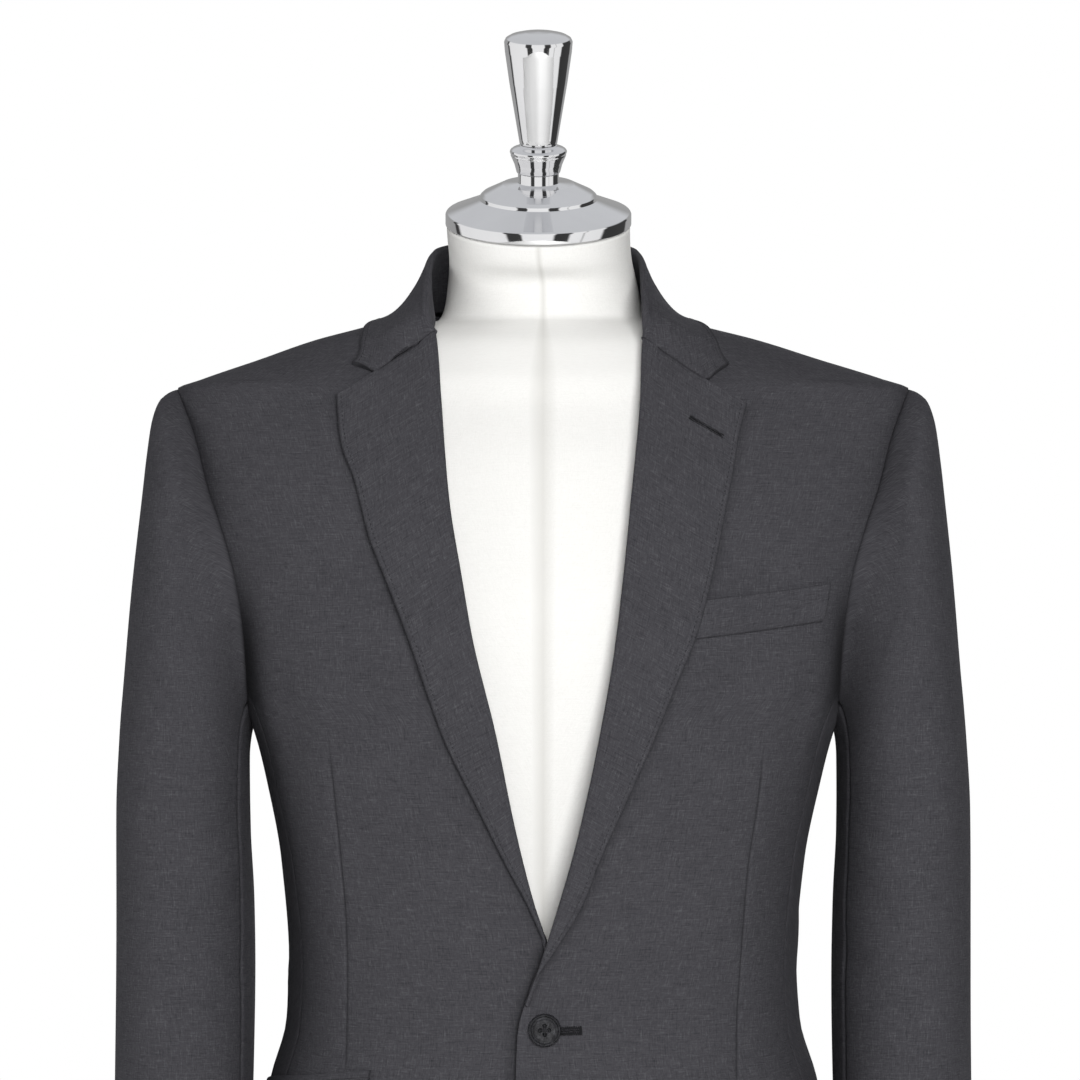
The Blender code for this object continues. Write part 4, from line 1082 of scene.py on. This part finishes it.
formStations = [
    (0.905, .1400, .0880, .0880, 2.2, .000), (0.912, .1490, .0970, .0960, 2.2, .000),
    (0.935, .1550, .1030, .1020, 2.2, .000), (0.990, .1530, .1060, .0960, 2.2, .000),
    (1.045, .1455, .1060, .0830, 2.2, .000), (1.083, .1435, .1060, .0780, 2.2, .000),
    (1.150, .1470, .1090, .0850, 2.3, .000), (1.232, .1600, .1120, .1010, 2.3, .000),
    (1.300, .1740, .1140, .1120, 2.3, .000), (1.350, .1860, .1080, .1160, 2.3, .002),
    (1.400, .1970, .0950, .1130, 2.3, .004), (1.435, .2050, .0800, .1020, 2.2, .006),
    (1.4480, .2020, .0760, .0990, 2.2, .006), (1.4604, .1690, .0710, .0930, 2.1, .007),
    (1.4720, .1285, .0650, .0860, 2.1, .008), (1.4830, .0820, .0550, .0710, 2.0, .009),
    (1.4880, .0650, .0510, .0620, 2.0, .010), (1.5080, .0600, .0510, .0590, 2.0, .008),
    (1.5300, .0572, .0560, .0572, 2.0, .001),
    (1.5468, .0575, .0575, .0575, 2.0, -.003),
]
form = Trunk(formStations)
cap = {"centre": (-.003, -.003, 1.5470), "tilt": 17.0}


def waistband():
    z = (1.0450 + spread(.038, .004) * .038)[:, None]
    degrees = np.linspace(0, 360, 181)[:-1][None]
    points = form.point(degrees, z, .0030 + .0004 * np.sin(np.pi * (z - 1.045) / .038) * np.ones_like(degrees))
    obj = addSheet("trouserBand", points, 1, .0022, ring=True)
    finishCloth(obj, points, ["trouser_waistband"], "stretched", ["coverBody"], ring=True)


def fly():
    z = (.915 + spread(.1295, .006) * .1295)[:, None]
    curveIn = 1 - .8 * (1 - fade(z, .900, .950))
    degrees = mix(-1.5, 15.5 * curveIn, spread(.045, .004)[None])
    points = trouserHips.point(degrees, z, .0030 * np.ones_like(degrees))
    obj = addSheet("trouserFlyPiece", points, 1, .0018)
    finishCloth(obj, points, ["trouser_fly"], "laid", ["trouserFrontLeft"])


# The form, its metal and its base
def formPiece():
    z = np.concatenate([[.905, .9052, .9058, .907, .910, .915, .922], np.arange(.93, 1.43, .010),
                        np.arange(1.43, 1.5464, .0022), [1.5468]])[:, None]
    degrees = np.linspace(0, 360, 145)[:-1][None]
    points = form.flat(degrees, z)
    lean = math.tan(math.radians(cap["tilt"])) * fade(z, 1.500, 1.5468)
    points[..., 2] += lean * (points[..., 1] - form.centre(z))
    points[..., 0] += cap["centre"][0] * fade(z, 1.500, 1.5468)
    # painted shade: a thin dark line down the cover's centre front seam
    shade = .5 * bell((degrees + 180) % 360 - 180, .16) * np.ones_like(z)
    obj = addSheet("coverBody", points, 1, None, ring=True, shade=shade, material="coverCloth")
    mesh = obj.data
    count, rows = points.shape[1], points.shape[0]
    import bmesh
    edit = bmesh.new()
    edit.from_mesh(mesh)
    edit.verts.ensure_lookup_table()
    edit.faces.new([edit.verts[i] for i in range(count)][::-1])
    edit.faces.new([edit.verts[(rows - 1) * count + i] for i in range(count)])
    edit.to_mesh(mesh)
    edit.free()
    ownSolid(obj, ["form_body"])
    return obj


# Turned metal: height and radius from the foot up, rounded at each corner.
def turnedPiece(name, profile, material, around=128, place=(0, 0, 0), tilt=0.0, corner=.0004):
    spots = []
    for i, (height, radius) in enumerate(profile):
        here = np.array([height, radius])
        if 0 < i < len(profile) - 1:
            before, after = np.array(profile[i - 1]), np.array(profile[i + 1])
            for other, flip in ((before, False), (after, True)):
                reach = np.linalg.norm(other - here)
                cut = min(corner, reach * .3)
                spots.append(here + (other - here) / max(reach, 1e-9) * cut)
                if not flip:
                    spots.append(None)
            first, last = spots[-3], spots[-1]
            spots[-2] = (first + last) / 4 + here / 2
        else:
            spots.append(here)
    angle = np.linspace(0, 2 * math.pi, around + 1)[:-1]
    heights = np.array([s[0] for s in spots])[:, None]
    radii = np.maximum(np.array([s[1] for s in spots])[:, None], 1e-5)
    points = np.stack([radii * np.cos(angle), radii * np.sin(angle), heights * np.ones_like(angle)], -1)
    index = np.arange(points.shape[0] * around).reshape(-1, around)
    index = np.concatenate([index, index[:, :1]], axis=1)
    faces = np.stack([index[:-1, :-1], index[:-1, 1:], index[1:, 1:], index[1:, :-1]], -1).reshape(-1, 4).tolist()
    faces.append(list(range(around))[::-1])
    faces.append([(points.shape[0] - 1) * around + i for i in range(around)])
    obj = addMesh(name, points.reshape(-1, 3), faces, material)
    obj.location = place
    obj.rotation_euler = (math.radians(tilt), 0, 0)
    return obj


capProfile = [(0, 0), (0, .0577), (.0006, .0583), (.0070, .0583), (.0082, .0575), (.0165, .0366), (.0186, .0366),
              (.0205, .0345), (.0264, .0225), (.0270, .0128), (.0333, .0128), (.0333, 0)]
ringProfile = [(.0334, 0), (.0336, .0136), (.0390, .0150), (.0446, .0174), (.0452, .0172), (.0461, .0177),
               (.0470, .0179), (.0480, .0174), (.0490, .0160), (.0497, .0139), (.0503, .0125), (.0514, .0117),
               (.0514, 0)]
finialProfile = [(.0516, 0), (.0516, .0117), (.0560, .0124), (.0700, .0147), (.0900, .0180), (.1100, .0208),
                 (.1163, .0213), (.1185, .0203), (.1203, .0172), (.1215, .0125), (.1222, .0080), (.1226, 0)]
poleProfile = [(.0123, 0), (.0123, .0300), (.0270, .0270), (.0300, .0240), (.0300, .0125), (.9047, .0125), (.9047, 0)]
plateProfile = [(0, 0), (0, .1995), (.0006, .2000), (.0095, .2000), (.0112, .1980), (.0120, .1950), (.0120, 0)]


def metalwork():
    for name, profile, node in (("neckCapTurned", capProfile, "neck_cap"), ("capRingTurned", ringProfile, "cap_ring"),
                                ("finialTurned", finialProfile, "finial")):
        ownSolid(turnedPiece(name, profile, "brightChrome", 160, cap["centre"], cap["tilt"]),
                   [node])
    ownSolid(turnedPiece("poleTurned", poleProfile, "brightChrome", 64, (.088, 0, 0), corner=.0008),
               ["pole"])
    ownSolid(turnedPiece("basePlateTurned", plateProfile, "plateChrome", 192, corner=.0006),
               ["base_plate"])


# Buttons, buttonholes and stitches
buttonLook = {"radius": .0100, "thick": .0034, "holeRadius": .0010, "holeReach": .0026, "rim": .0007}


def buttonPiece(name, seat, normal, radius, node, turn=0.0):
    share = radius / buttonLook["radius"]
    around, rings = 96, 44
    r = np.concatenate([np.linspace(0, .62, 30)[1:], np.linspace(.62, 1.0, rings - 29)[1:]])[:, None]
    angle = np.linspace(0, 2 * math.pi, around + 1)[:-1][None]
    x, y = r * np.cos(angle), r * np.sin(angle)
    top = .72 - .22 * fade(r, .60, .74) + .55 * bell(r - .88, .070) - .12 * bell(r, .50)
    top = top - .80 * fade(r, .94, 1.0) ** 2
    height = top * np.ones_like(angle)
    for k in range(4):
        hx, hy = [buttonLook["holeReach"] / buttonLook["radius"] * f(turn + k * math.pi / 2) for f in (math.cos, math.sin)]
        away = np.hypot(x - hx, y - hy)
        height = height - 1.1 * (1 - fade(away, .080, .125))
    thick = buttonLook["thick"] * share
    points = np.stack([x * radius, y * radius, np.maximum(height, -.2) * thick * .8 + thick * .2], -1)
    under = np.stack([np.array([.97, .80, .45])[:, None] * np.cos(angle) * radius,
                      np.array([.97, .80, .45])[:, None] * np.sin(angle) * radius,
                      np.array([.12, .03, 0])[:, None] * thick * np.ones_like(angle)], -1)
    grid = np.concatenate([points, under])
    index = np.arange(grid.shape[0] * around).reshape(-1, around)
    index = np.concatenate([index, index[:, :1]], axis=1)
    faces = np.stack([index[:-1, :-1], index[1:, :-1], index[1:, 1:], index[:-1, 1:]], -1).reshape(-1, 4).tolist()
    faces.append(list(range(around)))
    faces.append([(grid.shape[0] - 1) * around + i for i in range(around)][::-1])
    obj = addMesh(name, grid.reshape(-1, 3), faces, "horn")
    obj.matrix_world = standOn(seat, normal)
    ownSolid(obj, [node])
    # two threads cross through the four holes
    strands = []
    reach = buttonLook["holeReach"] * share
    for k in range(2):
        for offset in (-.00022, .00022):
            a = turn + k * math.pi / 2
            t = np.linspace(-1, 1, 9)
            along = np.stack([np.cos(a) * t * reach - np.sin(a) * offset, np.sin(a) * t * reach + np.cos(a) * offset,
                              thick * (.83 + .22 * (1 - t * t) - .5 * np.abs(t) ** 6) + k * .0001], -1)
            strands.append(along)
    thread = tubes(name + "Thread", strands, .00030 * share ** .5, "clothThread")
    thread.matrix_world = standOn(seat, normal)
    ownSolid(thread)


def standOn(seat, normal):
    normal = Vector(normal).normalized()
    across = Vector((0, 0, 1)).cross(normal)
    if across.length < 1e-6:
        across = Vector((1, 0, 0))
    across.normalize()
    up = normal.cross(across)
    turnBy = Matrix((across, up, normal)).transposed().to_4x4()
    return Matrix.Translation(Vector(seat)) @ turnBy


def tubes(name, lines, radius, material, sides=8):
    points, faces = [], []
    for line in lines:
        line = np.asarray(line)
        way = unit(np.gradient(line, axis=0))
        across = unit(np.cross(way, np.array([.13, .21, .97])))
        over = np.cross(way, across)
        angle = np.linspace(0, 2 * math.pi, sides + 1)[:-1]
        taper = np.ones(len(line))
        taper[0] = taper[-1] = .5
        ring = (line[:, None] + radius * taper[:, None, None] * (
            across[:, None] * np.cos(angle)[None, :, None] + over[:, None] * np.sin(angle)[None, :, None]))
        first = len(points)
        points.extend(ring.reshape(-1, 3).tolist())
        for i in range(len(line) - 1):
            for j in range(sides):
                k = (j + 1) % sides
                faces.append([first + i * sides + j, first + i * sides + k,
                              first + (i + 1) * sides + k, first + (i + 1) * sides + j])
        faces.append([first + j for j in range(sides)][::-1])
        faces.append([first + (len(line) - 1) * sides + j for j in range(sides)])
    return addMesh(name, points, faces, material)


# Small stitches along a line on a cloth piece: place, way and outward normal for each.
def stitchRun(name, place, way, normal, length, width, height, material="clothThread"):
    profile = [(-.5, 0), (-.42, .7), (-.15, 1), (.15, 1), (.42, .7), (.5, 0)]
    sides = 6
    points, faces = [], []
    way, normal = unit(np.asarray(way)), unit(np.asarray(normal))
    across = np.cross(normal, way)
    for spot, w, n, a in zip(np.asarray(place), way, normal, across):
        first = len(points)
        points.append(spot + w * length * profile[0][0])
        for t, r in profile[1:-1]:
            for j in range(sides):
                angle = 2 * math.pi * j / sides
                points.append(spot + w * length * t + a * width / 2 * r * math.cos(angle) + n * height * r * math.sin(angle))
        points.append(spot + w * length * profile[-1][0])
        last = len(points) - 1
        for j in range(sides):
            k = (j + 1) % sides
            faces.append([first, first + 1 + k, first + 1 + j])
            for ring in range(len(profile) - 3):
                a0, b0 = first + 1 + ring * sides, first + 1 + (ring + 1) * sides
                faces.append([a0 + j, a0 + k, b0 + k, b0 + j])
            tail = first + 1 + (len(profile) - 3) * sides
            faces.append([tail + j, tail + k, last])
    obj = addMesh(name, points, faces, material)
    ownSolid(obj)
    return obj


# A line at a set inset from a grid's edge, resampled at even spacing.
def insetLine(points, edge, inset, spacing, trim=(0, 0)):
    grid = {"right": points, "left": points[:, ::-1], "top": points.transpose(1, 0, 2),
            "bottom": points.transpose(1, 0, 2)[:, ::-1]}[edge]
    arc = arcAcross(grid)
    target = arc[:, -1] - inset
    line = []
    for row, lengths, at in zip(grid, arc, target):
        line.append([np.interp(at, lengths, row[:, k]) for k in range(3)])
    line = np.array(line)
    length = np.concatenate([[0], np.cumsum(np.linalg.norm(np.diff(line, axis=0), axis=1))])
    spots = np.arange(trim[0], length[-1] - trim[1], spacing)
    place = np.stack([np.interp(spots, length, line[:, k]) for k in range(3)], -1)
    return place


def edgeStitches(name, points, runs, side, lift=.0001):
    flat = points.reshape(-1, 3)
    normals = gridNormals(points).reshape(-1, 3)
    for number, (edge, inset, trim) in enumerate(runs):
        place = insetLine(points, edge, inset, .0031, trim)
        if len(place) < 3:
            continue
        near = np.array([np.argmin(((flat - p) ** 2).sum(1)) for p in place])
        normal = normals[near]
        way = np.gradient(place, axis=0)
        place = place + normal * lift
        for array in (place, way, normal):
            array[:, 0] *= side
        stitchRun(f"{name}{number}", place, way, normal, .0015, .00062, .00018, "edgeThread")


def buttonhole(name, start, end, normal, width, gap):
    start, end, normal = np.array(start), np.array(end), unit(np.array(normal))
    way = unit(end - start)
    across = np.cross(normal, way)
    length = float(np.linalg.norm(end - start))
    count = int(length / .00066)
    lane = (width - gap) / 2
    place, ways = [], []
    for number, flip in enumerate((-1, 1)):
        for i in range(count):
            along = (i + .5) / count
            uneven = .00014 * math.sin(7.3 * i + 2.1 * number)
            place.append(start + way * length * along + across * flip * (gap / 2 + lane / 2 + uneven))
            ways.append(across * flip + way * .16 * math.sin(3.1 * i))
    stitchRun(name, np.array(place), np.array(ways), np.tile(normal, (len(place), 1)), lane, .00058, .00034, "darkThread")
    bars = [end + way * .0005 * t for t in (-1, 0, 1)]
    stitchRun(name + "Bar", np.array(bars), np.tile(across, (3, 1)), np.tile(normal, (3, 1)), width * 1.06, .00062, .0005,
              "darkThread")
    slit = np.stack([start + way * length * t + normal * .0001 for t in np.linspace(.04, .98, 12)])
    # the slit: a near-black tube painted as the shadow inside the cut
    ownSolid(tubes(name + "Slit", [slit], .00030, "slitPaintedShadow", 6))


def onFront(side, x, z, lift):
    lift = lift + float(frontLift(side, np.array(x), np.array(z)))
    degrees = jacket[side].degrees(x, z)
    point = jacket[side].point(degrees, z, lift)
    normal = jacket[side].normal(degrees, z)
    return point * np.array([side, 1, 1]), normal * np.array([side, 1, 1])


def addButtons():
    for name, z, node in (("frontButtonUpper", 1.0546, "front_button_upper"), ("frontButtonLower", .9500, "front_button_lower")):
        seat, normal = onFront(1, .0008, z, .0014)
        buttonPiece(name, seat, normal, .0100, node)
        start, normal = onFront(1, .0065, z - .0006, .0004)
        end, _ = onFront(1, .0222, z - .0002, .0004)
        buttonhole(name + "Hole", start, end, normal, .0056, .0008)
    for side in (1, -1):
        for number in range(4):
            ring = np.array(14 - (.855 + .0165 * number - .82) / .05)
            seat = sleevePoint(np.array(-84.0), ring)
            near = sleevePoint(np.array(-80.0), ring)
            above = sleevePoint(np.array(-84.0), ring - .2)
            out = unit(np.cross(near - seat, above - seat))
            if out[1] < 0:
                out = -out
            flip = np.array([side, 1, 1])
            buttonPiece(f"cuffButton{sideTitle[side]}{number + 1}", (seat + out * .0006) * flip, out * flip, .0073,
                        f"cuff_button_{sideName[side]}_{number + 1}", math.pi / 4)


print("building cloth")
formPiece()
waistband()
fronts, lapels, flaps = {}, {}, {}
for side in (1, -1):
    fronts[side] = frontPanel(side)
    sidePanel(side)
    backPanel(side)
    lapels[side] = lapelPiece(side)
    sleevePiece("Top", side, -100, 148)
    sleevePiece("Under", side, 148.5, 259.6)
    flaps[side] = pockets(side)
    trouserPiece("front", side)
    trouserPiece("back", side)
fly()
collarPoints = collarPiece()
weltPoints = breastWelt()
print("building hard pieces")
metalwork()
addButtons()
for side in (1, -1):
    who = sideName[side].title()
    edgeStitches(f"lapelStitch{who}", lapels[side], [("right", .0032, (.002, .002))], side)
    edgeStitches(f"flapStitch{who}", flaps[side], [("bottom", .0035, (.004, .004))], side)
edgeStitches("collarStitch", collarPoints, [("top", .0032, (.003, .003))], 1)
start, normal = onFront(1, .0892, 1.4215, .0052)
end, _ = onFront(1, .1088, 1.4103, .0044)
buttonhole("lapelButtonhole", end, start, normal, .0030, .0007)

for obj, flat, held, restsOn, area in sheets:
    print("cut", obj.name, flat, area)


# Stage, light and camera
# degrees round from the camera, toward its right, and how bright the studio is there
studioBands = [(-180, .36), (-127, .36), (-125, .05), (-119, .05), (-114, .86), (-44, .92), (-41, .05), (-23, .05),
               (-21, .95), (19, .95), (22, .04), (40, .05), (43, .92), (59, .90), (61, .35), (63, .90), (88, .88),
               (92, .04), (136, .05), (140, .36), (180, .36)]


def stageAndLight():
    floor = addMesh("floorDisc", [(0, 0, 0)] + [(2.6 * math.cos(a), 2.6 * math.sin(a), 0)
                                                for a in np.linspace(0, 2 * math.pi, 97)[:-1]],
                    [[0, 1 + i, 1 + (i + 1) % 96] for i in range(96)], "paleFloor", False)
    world = bpy.data.worlds.new("studioWhite")
    bpy.context.scene.world = world
    world.use_nodes = True
    tree = world.node_tree
    make = nodeMaker(tree)
    link = tree.links.new
    background = tree.nodes["Background"]
    seen = make("ShaderNodeLightPath")
    # metal sees the studio's pale boards and the dark gaps between them, round the horizon
    split = make("ShaderNodeSeparateXYZ")
    link(make("ShaderNodeTexCoord").outputs["Generated"], split.inputs[0])
    turned = make("ShaderNodeMath", operation="MULTIPLY")
    turned.inputs[1].default_value = -1
    link(split.outputs["Y"], turned.inputs[0])
    azimuth = make("ShaderNodeMath", operation="ARCTAN2")
    link(split.outputs["X"], azimuth.inputs[0])
    link(turned.outputs[0], azimuth.inputs[1])
    share = make("ShaderNodeMapRange")
    share.inputs["From Min"].default_value, share.inputs["From Max"].default_value = -math.pi, math.pi
    link(azimuth.outputs[0], share.inputs["Value"])
    bands = ramp(make, [((degrees + 180) / 360, (tone,) * 3) for degrees, tone in studioBands])
    link(share.outputs[0], bands.inputs[0])
    above = make("ShaderNodeMapRange", interpolation_type="SMOOTHSTEP")
    above.inputs["From Min"].default_value, above.inputs["From Max"].default_value = .42, .62
    link(split.outputs["Z"], above.inputs["Value"])
    metal = make("ShaderNodeMix", data_type="RGBA")
    link(above.outputs[0], metal.inputs["Factor"])
    link(bands.outputs[0], metal.inputs[6])
    metal.inputs[7].default_value = (.60, .61, .63, 1)
    soft = make("ShaderNodeMix", data_type="RGBA")
    soft.inputs[6].default_value = (.02, .02, .02, 1)
    link(seen.outputs["Is Glossy Ray"], soft.inputs["Factor"])
    link(metal.outputs[2], soft.inputs[7])
    colour = make("ShaderNodeMix", data_type="RGBA")
    link(seen.outputs["Is Camera Ray"], colour.inputs["Factor"])
    link(soft.outputs[2], colour.inputs[6])
    colour.inputs[7].default_value = (1, 1, 1, 1)
    link(colour.outputs[2], background.inputs["Color"])
    lamps = [
        ("frontSoftbox", (.62, -3.6, 1.9), (0, 0, 1.25), 2.0, 166), ("leftSoftbox", (-2.6, -.30, 1.7), (0, 0, 1.25), 1.5, 27),
        ("rightSoftbox", (2.6, -.50, 1.6), (0, 0, 1.25), 1.4, 5), ("topSoftbox", (0, .1, 3.6), (0, 0, 1.3), 1.6, 9),
        ("backSoftbox", (.9, 3.4, 2.2), (0, 0, 1.1), 1.7, 150),
    ]
    for name, place, target, size, power in lamps:
        lamp = bpy.data.lights.new(name, "AREA")
        lamp.size, lamp.energy = size, power
        lamp.color = (1, 1, 1)
        obj = bpy.data.objects.new(name, lamp)
        obj.location = place
        obj.rotation_euler = (Vector(target) - Vector(place)).to_track_quat("-Z", "Y").to_euler()
        obj.visible_glossy = False
        bpy.context.scene.collection.objects.link(obj)


def addCamera():
    data = bpy.data.cameras.new("photoCamera")
    data.sensor_width = 36
    data.lens = 159.2
    data.clip_start, data.clip_end = .05, 60
    camera = bpy.data.objects.new("photoCamera", data)
    camera.location = (-.002, -3.0, 1.349)
    camera.rotation_euler = (math.radians(90), 0, 0)
    bpy.context.scene.collection.objects.link(camera)
    bpy.context.scene.camera = camera


stageAndLight()
addCamera()
bpy.context.scene.view_settings.view_transform = "Standard"
print("scene ready")
